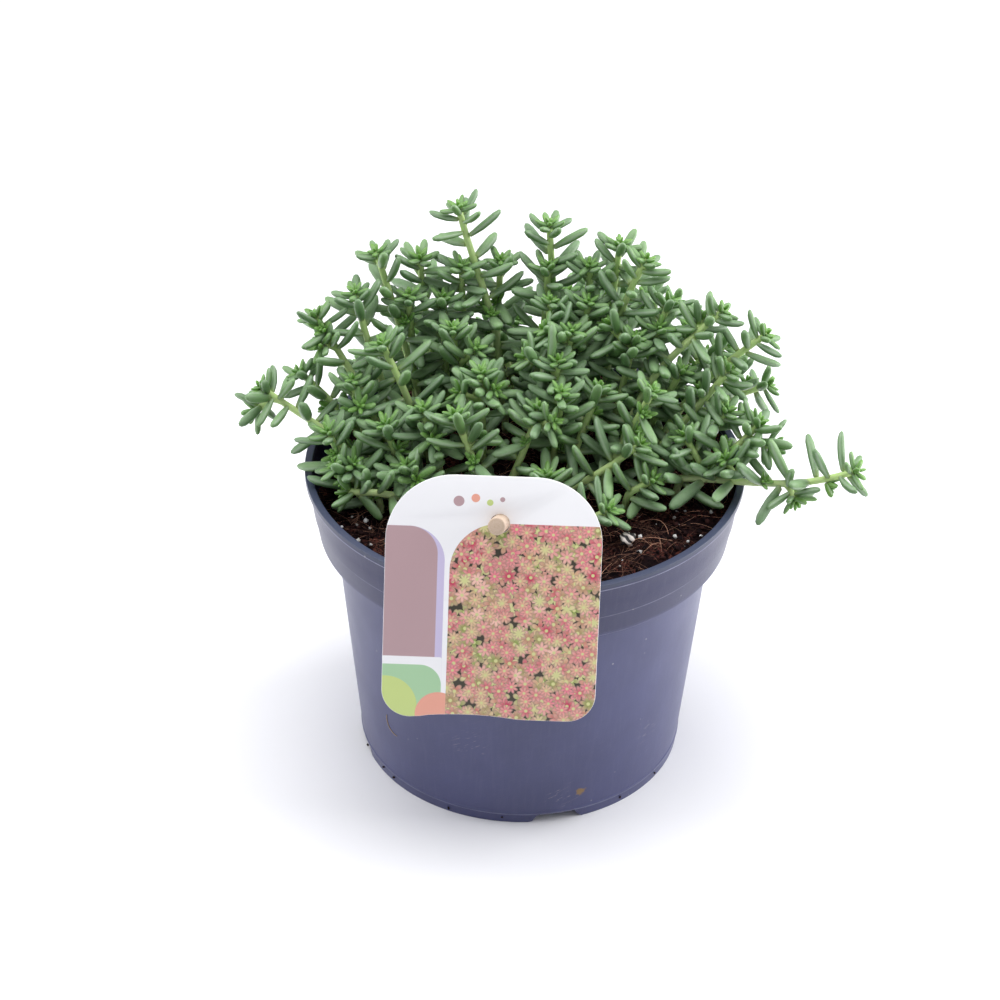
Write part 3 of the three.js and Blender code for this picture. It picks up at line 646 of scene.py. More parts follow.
@dataclass(frozen=True)
class PrintedCard(Finish):
    """White plastic card. Its front has a plain print: a field of blossoms beside bands of soft colours."""

    width: float = 60.0
    height: float = 71.0
    card: Colour = (0.95, 0.95, 0.97)
    mauve: Colour = (0.50, 0.34, 0.36)
    lilac: Colour = (0.62, 0.56, 0.78)
    mint: Colour = (0.42, 0.66, 0.40)
    lime: Colour = (0.60, 0.72, 0.26)
    coral: Colour = (0.86, 0.40, 0.30)
    soil_dark: Colour = (0.050, 0.045, 0.030)
    leaf_green: Colour = (0.26, 0.36, 0.08)
    pale_leaf: Colour = (0.66, 0.66, 0.30)
    rose: Colour = (0.78, 0.20, 0.27)
    crimson: Colour = (0.55, 0.03, 0.10)
    blush: Colour = (0.90, 0.56, 0.46)
    field_top: float = 57.5
    field_left: float = 18.0
    field_corner: float = 14.0
    band_right: float = 14.6
    sliver: float = 2.0
    patch_top: float = 15.5
    patch_gap: float = 2.4
    dots_right: float = 42.0
    dots_top: float = 70.0
    bleed: float = 40.0
    ink_edge: float = 0.08
    uneven: float = 0.96
    grain_scales: tuple[float, float] = (0.12, 9.0)
    grain_depth: float = 0.00002
    roughness: tuple[float, float] = (0.34, 0.44)

    def build(self) -> Material:
        """Makes the material.

        Returns:
            The card with its print.
        """
        nodes = Coat(self.name, Specular_IOR_Level=0.45)
        flat = nodes.add("ShaderNodeUVMap", uv_map="print").outputs["UV"]
        place = nodes.vector_maths("MULTIPLY", flat, (self.width, self.height, 0.0))
        shade = self.bands(nodes, place)
        right = self.width + self.bleed
        field = self.panel(nodes, place, self.field_left, right, self.field_top, self.field_corner)
        shade = nodes.mix(field, shade, self.blossoms(nodes, place))
        front = nodes.own_value("printed")
        grain = nodes.grain(place, self.grain_scales)
        bare = nodes.mix(grain["Mottle"], self.card, tuple(self.uneven * part for part in self.card))
        shade = nodes.mix(front, bare, shade)
        rough = nodes.band(grain["Mottle"], 0.0, 1.0, *self.roughness)
        normal = nodes.bump(grain["Height"], self.grain_depth)
        return nodes.finished(Base_Color=shade, Roughness=rough, Normal=normal)

    def panel(self, nodes: Nodes, place: Socket, left: float, right: float, top: float,
              corner: float) -> Socket:
        """Marks a panel with round upper corners that runs off the card's foot.

        Args:
            nodes: the material's nodes.
            place: the place on the card, in millimetres from its lower left corner.
            left: the panel's left side.
            right: its right side.
            top: its upper side.
            corner: the corners' radius.

        Returns:
            The mask.
        """
        foot = -self.bleed
        middle = ((left + right) / 2, (foot + top) / 2, 0.0)
        half = ((right - left) / 2 - corner, (top - foot) / 2 - corner, 0.0)
        away = nodes.vector_maths("ABSOLUTE", nodes.vector_maths("SUBTRACT", place, middle))
        past = nodes.vector_maths("MAXIMUM", nodes.vector_maths("SUBTRACT", away, half), (0.0, 0.0, 0.0))
        away = nodes.vector_maths("LENGTH", past)
        return nodes.band(away, corner - self.ink_edge, corner + self.ink_edge, 1.0, 0.0)

    def blossoms(self, nodes: Nodes, place: Socket) -> Socket:
        """Paints blossoms over leaves.

        Args:
            nodes: the material's nodes.
            place: the place on the card, in millimetres.

        Returns:
            The colour.
        """
        shade: Socket | Colour = self.soil_dark
        patches = nodes.band(nodes.noise(place, 0.10, 2.0), 0.42, 0.58)
        for shift, scale, petals, size, depth, colours in (
            (3.1, 0.25, 4.0, 0.62, 0.72, (self.leaf_green, self.pale_leaf)),
            (17.7, 0.22, 5.0, 0.60, 0.62, (self.pale_leaf, self.crimson)),
            (8.3, 0.20, 6.0, 0.55, 0.55, (self.leaf_green, self.rose)),
            (29.9, 0.18, 7.0, 0.45, 0.50, (self.blush, self.crimson)),
            (41.3, 0.19, 8.0, 0.42, 0.45, (self.pale_leaf, self.rose)),
        ):
            moved = nodes.vector_maths("ADD", place, (shift, 2 * shift, 0.0))
            inputs = {"Place": moved, "Scale": scale, "Petals": petals, "Size": size, "Depth": depth}
            motif = ShaderGroups.use(nodes, "petals", inputs)
            tone = nodes.plus(nodes.times(motif["Pick"], 0.6), nodes.times(patches, 0.6))
            colour = nodes.mix(nodes.minus(tone, 0.10, clamp=True), *colours)
            colour = nodes.mix(nodes.band(motif["Inside"], 0.0, 0.6, 0.75, 0.0), colour, self.soil_dark)
            colour = nodes.mix(nodes.band(motif["Middle"], 0.15, 0.75, 0.0, 0.30), colour, self.blush)
            colour = nodes.mix(nodes.band(motif["Middle"], 0.14, 0.24, 1.0, 0.0), colour, self.pale_leaf)
            shade = nodes.mix(motif["Mask"], shade, colour)
        return shade

    def bands(self, nodes: Nodes, place: Socket) -> Socket:
        """Paints the mauve band, the patches at its foot and the dots above.

        Args:
            nodes: the material's nodes.
            place: the place on the card, in millimetres.

        Returns:
            The colour.
        """
        shade: Socket | Colour = self.card
        right = self.band_right
        for top, side, corner, colour in (
            (self.field_top - 1.5, right + self.sliver, 10.0, self.lilac),
            (self.field_top - 1.5, right, 8.0, self.mauve),
            (self.patch_top + self.patch_gap, right + self.sliver, 0.6, self.card),
            (self.patch_top, right + self.sliver, 6.0, self.mint),
        ):
            shade = nodes.mix(self.panel(nodes, place, -self.bleed, side, top, corner), shade, colour)
        for spot, radius, colour in (
            ((1.0, 3.0), 9.0, self.lime), ((16.0, 1.0), 6.5, self.coral), ((20.0, 63.6), 1.5, self.mauve),
            ((24.6, 64.6), 1.2, self.coral), ((28.6, 63.4), 0.9, self.lime), ((32.0, 64.4), 0.7, self.mauve),
        ):
            away = nodes.vector_maths("DISTANCE", place, (*spot, 0.0))
            dot = nodes.band(away, radius - 0.07, radius + 0.07, 1.0, 0.0)
            inside = self.panel(nodes, place, -self.bleed, self.dots_right, self.dots_top, 0.5)
            shade = nodes.mix(nodes.times(dot, inside), shade, colour)
        return shade


@dataclass(frozen=True)
class PegWood(Finish):
    """Pale, dry wood with its grain along the peg."""

    foot: Point
    along: Point
    pale: Colour = (0.60, 0.47, 0.37)
    dark: Colour = (0.52, 0.39, 0.28)
    stretch: Point = (1.0, 1.0, 0.05)
    fibre_scale: float = 2600.0
    ring_scale: float = 260.0
    ring_share: float = 0.12
    grain_depth: float = 0.00006
    roughness: tuple[float, float] = (0.5, 0.68)

    def build(self) -> Material:
        """Makes the material.

        Returns:
            The wood.
        """
        nodes = Coat(self.name, Specular_IOR_Level=0.3)
        turn = Vector(self.along).to_track_quat("Z", "Y").inverted().to_euler()
        own = nodes.vector_maths("SUBTRACT", nodes.object_place(), self.foot)
        inputs = {"Vector": own, "Rotation": tuple(turn)}
        turned_place = nodes.add("ShaderNodeVectorRotate", inputs, rotation_type="EULER_XYZ").outputs[0]
        drawn = nodes.vector_maths("MULTIPLY", turned_place, self.stretch)
        fibres = nodes.noise(drawn, self.fibre_scale, 3.0, 0.6)
        inputs = {"Vector": drawn, "Scale": self.ring_scale, "Distortion": 1.5}
        rings = nodes.add("ShaderNodeTexWave", inputs, wave_type="RINGS", rings_direction="Z").outputs["Fac"]
        tone = nodes.plus(nodes.times(fibres, 1.0 - self.ring_share), nodes.times(rings, self.ring_share))
        shade = nodes.mix(nodes.band(tone, 0.3, 0.75), self.pale, self.dark)
        rough = nodes.band(tone, 0.3, 0.75, *self.roughness)
        return nodes.finished(Base_Color=shade, Roughness=rough, Normal=nodes.bump(fibres, self.grain_depth))


@dataclass(frozen=True)
class LeafSkin(Finish):
    """Juicy green skin: fresh yellow-green when young, then dark green under a pale waxy bloom. The bloom is
    painted paler on upward-facing skin as painted top light, and pale lines along the leaves' sides are
    painted rim highlights.
    """

    young: Colour = (0.158, 0.350, 0.042)
    grown: Colour = (0.158, 0.305, 0.090)
    shaded: Colour = (0.076, 0.166, 0.059)
    foot: Colour = (0.380, 0.480, 0.160)
    pale_bloom_and_highlight: Colour = (0.370, 0.490, 0.335)
    shading: float = 0.9
    mottling: float = 0.22
    foot_reach: float = 0.24
    foot_strength: float = 0.80
    rim_highlight_from: float = 0.74
    rim_highlight_strength: float = 0.65
    bloom_top_light_low: float = 0.06
    bloom_top_light_high: float = 0.38
    cell_scale: float = 3600.0
    grain_scales: tuple[float, float] = (330.0, 2600.0)
    grain_depth: float = 0.00005
    roughness: tuple[float, float] = (0.36, 0.56)

    def build(self) -> Material:
        """Makes the material.

        Returns:
            The leaves' skin.
        """
        nodes = Coat(self.name, Specular_IOR_Level=0.45, Subsurface_Weight=0.12, Subsurface_Scale=0.0016,
                     Subsurface_Radius=(0.5, 1.0, 0.25))
        place = nodes.object_place()
        age = nodes.own_value("age")
        along = nodes.own_value("along")
        chance = nodes.own_value("chance")
        grain = nodes.grain(place, self.grain_scales)
        old = nodes.mix(nodes.times(chance, self.shading), self.grown, self.shaded)
        shade = nodes.mix(age, self.young, old)
        shade = nodes.mix(nodes.times(grain["Mottle"], self.mottling), shade, self.shaded)
        shade = nodes.mix(nodes.band(along, 0.0, self.foot_reach, self.foot_strength, 0.0), shade, self.foot)
        # Painted rim highlight: pale lines along the leaves' two sides.
        edge = nodes.band(nodes.own_value("edge"), self.rim_highlight_from, 1.0, 0.0, self.rim_highlight_strength)
        shade = nodes.mix(edge, shade, self.pale_bloom_and_highlight)
        # Painted top light: the bloom is paler where the skin faces up, more so on older leaves, and it is
        # broken by noise.
        facing = nodes.add("ShaderNodeNewGeometry").outputs["Normal"]
        upward = nodes.add("ShaderNodeSeparateXYZ", {0: facing}).outputs[2]
        bloom_with_painted_top_light = nodes.band(upward, -0.5, 1.0, self.bloom_top_light_low, self.bloom_top_light_high)
        bloom_with_painted_top_light = nodes.times(bloom_with_painted_top_light, nodes.band(age, 0.2, 1.0, 0.35, 1.0))
        bloom_with_painted_top_light = nodes.times(bloom_with_painted_top_light, nodes.band(nodes.noise(place, 420.0, 3.0, 0.6), 0.3, 0.7, 0.65, 1.0))
        shade = nodes.mix(bloom_with_painted_top_light, shade, self.pale_bloom_and_highlight)
        cells = nodes.add("ShaderNodeTexVoronoi", {"Vector": place, "Scale": self.cell_scale})
        height = nodes.minus(nodes.times(grain["Height"], 0.5), cells.outputs["Distance"])
        rough = nodes.band(bloom_with_painted_top_light, 0.0, 0.6, *self.roughness)
        return nodes.finished(Base_Color=shade, Roughness=rough, Normal=nodes.bump(height, self.grain_depth))


@dataclass(frozen=True)
class StemSkin(Finish):
    """Stem skin: pale yellow-green near the tip, pinkish-brown and ringed with leaf scars near the root."""

    young: Colour = (0.610, 0.810, 0.330)
    grown: Colour = (0.650, 0.800, 0.390)
    old: Colour = (0.420, 0.320, 0.220)
    scar: Colour = (0.280, 0.230, 0.120)
    scarring: float = 0.55
    grain_scales: tuple[float, float] = (260.0, 2200.0)
    grain_depth: float = 0.00008
    roughness: tuple[float, float] = (0.46, 0.6)

    def build(self) -> Material:
        """Makes the material.

        Returns:
            The stems' skin.
        """
        nodes = Coat(self.name, Specular_IOR_Level=0.4, Subsurface_Weight=0.10, Subsurface_Scale=0.0012,
                     Subsurface_Radius=(0.6, 1.0, 0.3))
        place = nodes.object_place()
        age = nodes.own_value("age")
        grain = nodes.grain(place, self.grain_scales)
        shade = nodes.mix(nodes.band(age, 0.0, 0.55), self.young, self.grown)
        wavering = nodes.plus(age, nodes.times(grain["Mottle"], 0.25))
        shade = nodes.mix(nodes.band(wavering, 0.75, 1.25), shade, self.old)
        scars = nodes.specks(place, 380.0, 0.25, 0.22)
        shade = nodes.mix(nodes.times(scars, self.scarring), shade, self.scar)
        rough = nodes.band(grain["Mottle"], 0.0, 1.0, *self.roughness)
        normal = nodes.bump(grain["Height"], self.grain_depth)
        return nodes.finished(Base_Color=shade, Roughness=rough, Normal=normal)


@dataclass(frozen=True)
class PaleFloor(Finish):
    """The studio's plain pale floor."""

    shade: Colour = (0.90, 0.90, 0.915)
    uneven: float = 0.985

    def build(self) -> Material:
        """Makes the material.

        Returns:
            The floor's finish.
        """
        nodes = Coat(self.name, Roughness=0.9, Specular_IOR_Level=0.1)
        faint = nodes.noise(nodes.object_place(), 3.0, 2.0)
        darker = tuple(self.uneven * part for part in self.shade)
        return nodes.finished(Base_Color=nodes.mix(faint, self.shade, darker))


# Meshes


def as_mesh(name: str, bm: Shape) -> Mesh:
    """Turns a shape into a mesh, and frees the shape.

    Args:
        name: the mesh's name.
        bm: the shape.

    Returns:
        The mesh.
    """
    mesh = bpy.data.meshes.new(name)
    bm.to_mesh(mesh)
    bm.free()
    return mesh


def linked(name: str, data: bpy.types.ID) -> bpy.types.Object:
    """Makes an object of a mesh, a light or a camera, in the scene.

    Args:
        name: the object's name.
        data: its mesh, light or camera.

    Returns:
        The object.
    """
    made = bpy.data.objects.new(name, data)
    bpy.context.scene.collection.objects.link(made)
    return made


class Bench:
    """Turns finished meshes in millimetres into pieces of the frame."""

    def __init__(self) -> None:
        """Finds the pot's axis in the frame."""
        low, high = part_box("pot")
        self.axis = Vector(((low.x + high.x) / 2, (low.y + high.y) / 2, low.z))
        self.to_frame = Matrix.Translation(self.axis) @ Matrix.Scale(MM, 4)

    def metres(self, place: Iterable[float]) -> Point:
        """Gives a place in the frame for one in millimetres about the pot's axis."""
        return tuple(self.to_frame @ Vector(place))

    def place(self, name: str, made: Shape | Mesh, slot: Slot,
              finishes: Sequence[Material], replaces: Sequence[str] = ()) -> bpy.types.Object:
        """Makes a piece of a mesh, in the frame.

        Args:
            name: the piece's name.
            made: the mesh, in millimetres about the pot's axis.
            slot: the slot that its finish stands for; not used.
            finishes: its materials, in the order of the faces' numbers.
            replaces: the frame's nodes that it stands for.

        Returns:
            The piece's object.
        """
        mesh = as_mesh(name, made) if isinstance(made, Shape) else made
        mesh.transform(self.to_frame)
        mesh.shade_smooth()
        for finish in finishes:
            mesh.materials.append(finish)
        piece = linked(name, mesh)
        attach(piece, "root")
        if replaces:
            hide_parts(*replaces)
        LOG.info("%s: %d faces", name, len(mesh.polygons))
        return piece


def turned(outline: Sequence[tuple[float, float]], steps: int) -> Shape:
    """Spins an outline once round the Z axis.

    Args:
        outline: points of radius and height, from the axis back to the axis.
        steps: how many stretches the round has.

    Returns:
        The closed shape.
    """
    bm = bmesh.new()
    points = [bm.verts.new((radius, 0.0, height)) for radius, height in outline]
    lines = [bm.edges.new(pair) for pair in zip(points, points[1:])]
    bmesh.ops.spin(bm, geom=points + lines, cent=(0, 0, 0), axis=(0, 0, 1), angle=FULL_TURN,
                   steps=steps, use_merge=True, use_duplicate=False)
    bmesh.ops.remove_doubles(bm, verts=bm.verts, dist=1e-4)
    bmesh.ops.recalc_face_normals(bm, faces=bm.faces)
    return bm


def swept(bm: Shape, route: Array, radii: Array, sides: int) -> list[bmesh.types.BMVert]:
    """Draws a closed tube along a route by extruding a ring from point to point.

    Args:
        bm: the mesh that gets the tube.
        route: the route's points, in millimetres.
        radii: the tube's radius at each point.
        sides: how many sides it has.

    Returns:
        The tube's vertices, ring after ring.
    """
    along = np.gradient(route, axis=0)
    along /= np.linalg.norm(along, axis=1, keepdims=True)
    across = np.cross(along[0], (0.3, 0.5, 0.8))
    ring = bmesh.ops.create_circle(bm, cap_ends=True, segments=sides, radius=1.0)["verts"]
    cap = ring[0].link_faces[0]
    made = []
    for number, (middle, ahead, radius) in enumerate(zip(route, along, radii)):
        if number:
            grown = set(bmesh.ops.extrude_face_region(bm, geom=[cap])["geom"])
            cap = next(item for item in grown if isinstance(item, bmesh.types.BMFace))
            ring = [next(edge.other_vert(vert) for edge in vert.link_edges if edge.other_vert(vert) in grown)
                    for vert in ring]
        across = across - ahead * float(across @ ahead)
        across /= np.linalg.norm(across)
        other = np.cross(ahead, across)
        for side, vert in enumerate(ring):
            turn = FULL_TURN * side / sides
            vert.co = middle + radius * (math.cos(turn) * across + math.sin(turn) * other)
        made.extend(ring)
    return made


def rough_lump(bm: Shape, place: Vector, size: float, flat: float, fine: int,
               pick: Random) -> list[bmesh.types.BMVert]:
    """Adds an uneven lump.

    Args:
        bm: the mesh that gets it.
        place: its middle.
        size: its largest radius.
        flat: its height as a share of its width.
        fine: the icosphere's subdivisions.
        pick: the random numbers.

    Returns:
        The lump's vertices.
    """
    verts = bmesh.ops.create_icosphere(bm, subdivisions=fine, radius=1.0)["verts"]
    shift = Vector(pick.uniform(-50, 50, 3))
    stretch = pick.uniform(0.6, 1.0, 3)
    spin = Matrix.Rotation(pick.uniform(0, ABOUT_A_TURN), 4, "Z")
    turn = spin @ Matrix.Rotation(pick.normal(0, 0.35), 4, "X")
    for vert in verts:
        rough = 1.0 + 0.55 * noise.noise(vert.co * 1.4 + shift)
        x, y, z = vert.co
        local = Vector((x * stretch[0], y * stretch[1], z * stretch[2] * flat)) * rough
        vert.co = place + size * (turn @ local)
    return verts


def lump_meshes(count: int, fine: int, pick: Random) -> list[Mesh]:
    """Makes uneven lumps of radius 1 as templates.

    Args:
        count: how many.
        fine: the icospheres' subdivisions.
        pick: the random numbers.

    Returns:
        The templates.
    """
    meshes = []
    for _ in range(count):
        bm = bmesh.new()
        rough_lump(bm, Vector((0.0, 0.0, 0.0)), 1.0, 0.9, fine, pick)
        meshes.append(as_mesh("lump", bm))
    return meshes


def add_rod(bm: Shape, radius: float, length: float, sides: int, place: Matrix) -> None:
    """Adds a closed rod.

    Args:
        bm: the mesh that gets it.
        radius: its radius.
        length: its length, along its own Z axis.
        sides: how many sides it has.
        place: where its middle is and how it is turned.
    """
    bmesh.ops.create_cone(bm, cap_ends=True, segments=sides, radius1=radius, radius2=radius, depth=length,
                          matrix=place)


def rounded_rims(bm: Shape, radius: float, segments: int) -> None:
    """Rounds the sharp edges of a plate or a rod.

    Args:
        bm: the shape.
        radius: the rounding's radius.
        segments: how many faces go round it.
    """
    rims = [edge for edge in bm.edges if edge.calc_face_angle(0.0) > SHARP_RIM]
    bmesh.ops.bevel(bm, geom=rims, offset=radius, segments=segments, profile=0.5, affect="EDGES", material=-1)


def pierced(bm: Shape, cutters: Shape) -> Shape:
    """Cuts closed shapes out of a closed shape.

    Args:
        bm: the shape to cut, which is freed.
        cutters: the shapes to take away, which are freed too.

    Returns:
        The cut shape.
    """
    helpers = [linked(name, as_mesh(name, shape)) for name, shape in (("cut", bm), ("cutters", cutters))]
    modifier = helpers[0].modifiers.new("cut", "BOOLEAN")
    modifier.operation = "DIFFERENCE"
    modifier.solver = "EXACT"
    modifier.object = helpers[1]
    result = bmesh.new()
    result.from_object(helpers[0], bpy.context.evaluated_depsgraph_get())
    for helper in helpers:
        mesh = helper.data
        bpy.data.objects.remove(helper)
        bpy.data.meshes.remove(mesh)
    return result


def vertex_places(mesh: Mesh) -> Array:
    """Gives the places of a mesh's vertices, one row each.

    Args:
        mesh: the mesh.

    Returns:
        A row of three numbers for each vertex.
    """
    flat = np.empty(len(mesh.vertices) * 3)
    mesh.vertices.foreach_get("co", flat)
    return flat.reshape(-1, 3)


def add_copies(bm: Shape, template: Mesh, count: int) -> None:
    """Adds copies of a mesh, one after the other and all in the same place.

    Args:
        bm: the mesh that gets them.
        template: the mesh to copy.
        count: how many copies.
    """
    helper = linked("copies", template)
    modifier = helper.modifiers.new("copies", "ARRAY")
    modifier.use_relative_offset = False
    modifier.count = max(1, count)
    if count:
        bm.from_object(helper, bpy.context.evaluated_depsgraph_get())
    bpy.data.objects.remove(helper)


def set_values(mesh: Mesh, first: int, values: dict[str, Array]) -> None:
    """Sets the places or attributes of a mesh's vertices.

    Args:
        mesh: the mesh.
        first: the first vertex that they are for.
        values: a row for each of the vertices, for "co" and for attributes of one number.
    """
    for name, rows in values.items():
        data, key = (mesh.vertices, "co") if name == "co" else (mesh.attributes[name].data, "value")
        flat = np.empty(len(mesh.vertices) * rows[0].size)
        data.foreach_get(key, flat)
        flat[first * rows[0].size:(first + len(rows)) * rows[0].size] = rows.ravel()
        data.foreach_set(key, flat)


def scattered(name: str, templates: Sequence[Mesh], kinds: Array, places: Array,
              turns: Array, tones: Array) -> Mesh:
    """Makes one mesh of many small things, each a copy of a template.

    Args:
        name: the mesh's name.
        templates: the templates.
        kinds: which template each thing has.
        places: where each is.
        turns: a matrix of three rows that turns and stretches each.
        tones: each thing's tone, for the attribute "chance".

    Returns:
        The mesh.
    """
    bm = bmesh.new()
    bm.verts.layers.float.new("chance")
    rows, chances = [], []
    for kind, template in enumerate(templates):
        chosen = kinds == kind
        shape = vertex_places(template)
        add_copies(bm, template, int(chosen.sum()))
        rows.append((np.einsum("nij,vj->nvi", turns[chosen], shape) + places[chosen][:, None]).reshape(-1, 3))
        chances.append(np.repeat(tones[chosen], len(shape)))
    mesh = as_mesh(name, bm)
    set_values(mesh, 0, {"co": np.vstack(rows), "chance": np.concatenate(chances)})
    return mesh


def random_turns(pick: Random, count: int) -> Array:
    """Gives a random matrix of three rows for each of some things, with a random stretch of 0.7 to 1."""
    frames, _ = np.linalg.qr(pick.normal(size=(count, 3, 3)))
    return frames * pick.uniform(0.7, 1.0, (count, 1, 3))


def gathered(count: int, numbers: Array, moves: Array) -> Array:
    """Adds up moves by the number of what they move."""
    return np.stack([np.bincount(numbers, moves[:, part], count) for part in range(3)], axis=1)


def near(ones: Array, others: Array, reaches: Array, other_reaches: Array) -> Array:
    """Finds pairs of points that are no farther apart than their reaches together.

    Args:
        ones: the first points.
        others: the second points.
        reaches: the first points' reaches.
        other_reaches: the second points' reaches.

    Returns:
        Two columns of numbers.
    """
    found = []
    chunk = 400
    for start in range(0, len(ones), chunk):
        rows = slice(start, start + chunk)
        distance = np.linalg.norm(ones[rows, None] - others[None], axis=2)
        pairs = np.argwhere(distance < reaches[rows, None] + other_reaches[None])
        pairs[:, 0] += start
        found.append(pairs)
    return np.vstack(found)


def lifted(value: float, low: float, high: float) -> float:
    """Goes from 0 at low to 1 at high along a straight line, and stays there."""
    return min(1.0, max(0.0, (value - low) / (high - low)))


def eased(value: Array, low: float, high: float) -> Array:
    """Goes smoothly from 0 at low to 1 at high."""
    share = np.clip((value - low) / (high - low), 0.0, 1.0)
    return share * share * (3.0 - 2.0 * share)


def unit(vectors: Array) -> Array:
    """Gives vectors of length 1 with the same directions."""
    return vectors / np.maximum(np.linalg.norm(vectors, axis=-1, keepdims=True), 1e-9)


# Pot


@dataclass
class Pot:
    """The nursery pot: one moulded shell with a rolled lip, a stepped collar and a foot ring with gaps."""

    bench: Bench
    height: float = 97.0
    lip_radius: float = 65.0
    lip_height: float = 2.4
    lip_width: float = 2.2
    lip_step: float = 0.5
    wall: float = 0.9
    collar_top_radius: float = 64.1
    collar_foot_radius: float = 61.2
    collar_height: float = 20.8
    collar_line: float = 84.0
    collar_line_step: float = 0.22
    body_top_radius: float = 56.4
    body_foot_radius: float = 49.3
    foot_radius: float = 49.1
    foot_height: float = 3.2
    foot_width: float = 1.8
    floor_thickness: float = 1.2
    gaps: int = 4
    gap_turn: float = math.radians(13)
    gap_width: float = 15.0
    gap_slope: float = 1.8
    gap_height: float = 2.8
    drain_holes: int = 6
    drain_radius: float = 4.5
    drain_circle: float = 34.0
    inner_step: float = 0.4
    inner_drop: float = 0.2
    floor_ring_shares: tuple[float, float] = (0.55, 0.5)
    foot_chamfer: float = 0.4
    foot_bead: tuple[tuple[float, float], ...] = ((0.25, 0.0), (0.30, 0.7), (0.12, 1.1))
    collar_chamfer: float = 0.5
    line_rise: float = 0.15
    line_fade: float = 5.0
    lip_chamfer: float = 0.1
    steps: int = 240
    rounding: float = 0.28
    sharp: float = math.radians(24)

    @property
    def collar_foot(self) -> float:
        """The height of the collar's foot."""
        return self.height - self.collar_height

    @property
    def lip_foot(self) -> float:
        """The height of the lip's foot."""
        return self.height - self.lip_height

    def collar_radius(self, height: float) -> float:
        """Gives the collar's outer radius at a height."""
        share = (height - self.collar_foot) / (self.lip_foot - self.collar_foot)
        return self.collar_foot_radius + share * (self.collar_top_radius - self.collar_foot_radius)

    def inner_radius(self, height: float) -> float:
        """Gives the inner wall's radius at a height in the collar."""
        return self.collar_radius(height) - self.wall - self.inner_step

    def outline(self) -> list[tuple[float, float]]:
        """Gives the shell's section, as radius and height.

        Returns:
            The points, from the underside's middle round the outside and back to the floor's middle.
        """
        floor_top = self.foot_height + self.floor_thickness
        line = self.collar_line
        ring = self.foot_radius - self.foot_width
        inner_lip = self.lip_radius - self.lip_width
        below, above = self.floor_ring_shares
        return [
            (0.0, self.foot_height), (ring * below, self.foot_height), (ring, self.foot_height), (ring, 0.0),
            (self.foot_radius, 0.0), (self.foot_radius, self.foot_height - self.foot_chamfer),
            *((self.body_foot_radius + out, self.foot_height + up) for out, up in self.foot_bead),
            ((self.body_foot_radius + self.body_top_radius) / 2, (self.foot_height + self.collar_foot) / 2),
            (self.body_top_radius, self.collar_foot),
            (self.collar_foot_radius - self.collar_chamfer, self.collar_foot),
            (self.collar_foot_radius, self.collar_foot + self.collar_chamfer),
            (self.collar_radius(line), line),
            (self.collar_radius(line) + self.collar_line_step, line + self.line_rise),
            (self.collar_radius(line + self.line_fade) + self.lip_chamfer, line + self.line_fade),
            (self.collar_top_radius, self.lip_foot), (self.lip_radius, self.lip_foot + self.lip_step),
            (self.lip_radius, self.height - self.lip_chamfer),
            (self.lip_radius - self.lip_chamfer, self.height),
            (inner_lip + self.lip_chamfer, self.height), (inner_lip, self.height - self.lip_chamfer),
            (self.inner_radius(self.lip_foot - 1.0), self.lip_foot - 1.0),
            (self.collar_foot_radius - self.wall, self.collar_foot + self.wall),
            (self.body_top_radius - self.wall, self.collar_foot + self.wall - self.inner_drop),
            (self.body_foot_radius - self.wall, floor_top), (ring * above, floor_top), (0.0, floor_top),
        ]

    def shell(self) -> Shape:
        """Makes the shell with rounded edges, its foot gaps and its drain holes.

        Returns:
            The shell.
        """
        bm = turned(self.outline(), self.steps)
        edges = [edge for edge in bm.edges if self.is_ring_edge(edge)]
        bmesh.ops.bevel(bm, geom=edges, offset=self.rounding, segments=3, profile=0.5, affect="EDGES",
                        material=-1, clamp_overlap=True)
        for vert in bm.verts:
            self.open_foot(vert)
        cutters = bmesh.new()
        for number in range(self.drain_holes):
            turn = (number + 0.5) * FULL_TURN / self.drain_holes
            middle = Vector((math.cos(turn), math.sin(turn), 0.0)) * self.drain_circle
            middle.z = self.foot_height + self.floor_thickness / 2
            add_rod(cutters, self.drain_radius, 4 * self.floor_thickness, 32, Matrix.Translation(middle))
        return pierced(bm, cutters)

    def is_ring_edge(self, edge: bmesh.types.BMEdge) -> bool:
        """Tells whether an edge runs round the pot and is sharp.

        Args:
            edge: any edge of the shell.

        Returns:
            Whether it is one.
        """
        one, other = (vert.co for vert in edge.verts)
        level = abs(one.z - other.z) < 1e-4 and abs(one.xy.length - other.xy.length) < 1e-3
        return level and len(edge.link_faces) == 2 and edge.calc_face_angle(0.0) > self.sharp

    def open_foot(self, vert: bmesh.types.BMVert) -> None:
        """Lifts a vertex of the foot ring where it lies in a gap.

        Args:
            vert: any vertex of the shell.
        """
        if vert.co.z > self.foot_height or vert.co.xy.length < self.foot_radius - self.foot_width - 0.1:
            return
        turn = math.atan2(vert.co.y, vert.co.x) + math.pi / 2 - self.gap_turn
        part = FULL_TURN / self.gaps
        off = abs((turn + part / 2) % part - part / 2) * self.foot_radius
        half = self.gap_width / 2
        lift = self.gap_height * (1.0 - lifted(off, half - self.gap_slope, half))
        vert.co.z = lift + vert.co.z * (1.0 - lift / self.foot_height)

    def build(self) -> None:
        """Makes the pot's piece."""
        axis = self.bench.metres((0.0, 0.0, 0.0))
        finish = PotPlastic("pot_plastic", axis=axis).build()
        self.bench.place("pot_shell", self.shell(), Slot.POT, [finish], ["pot"])


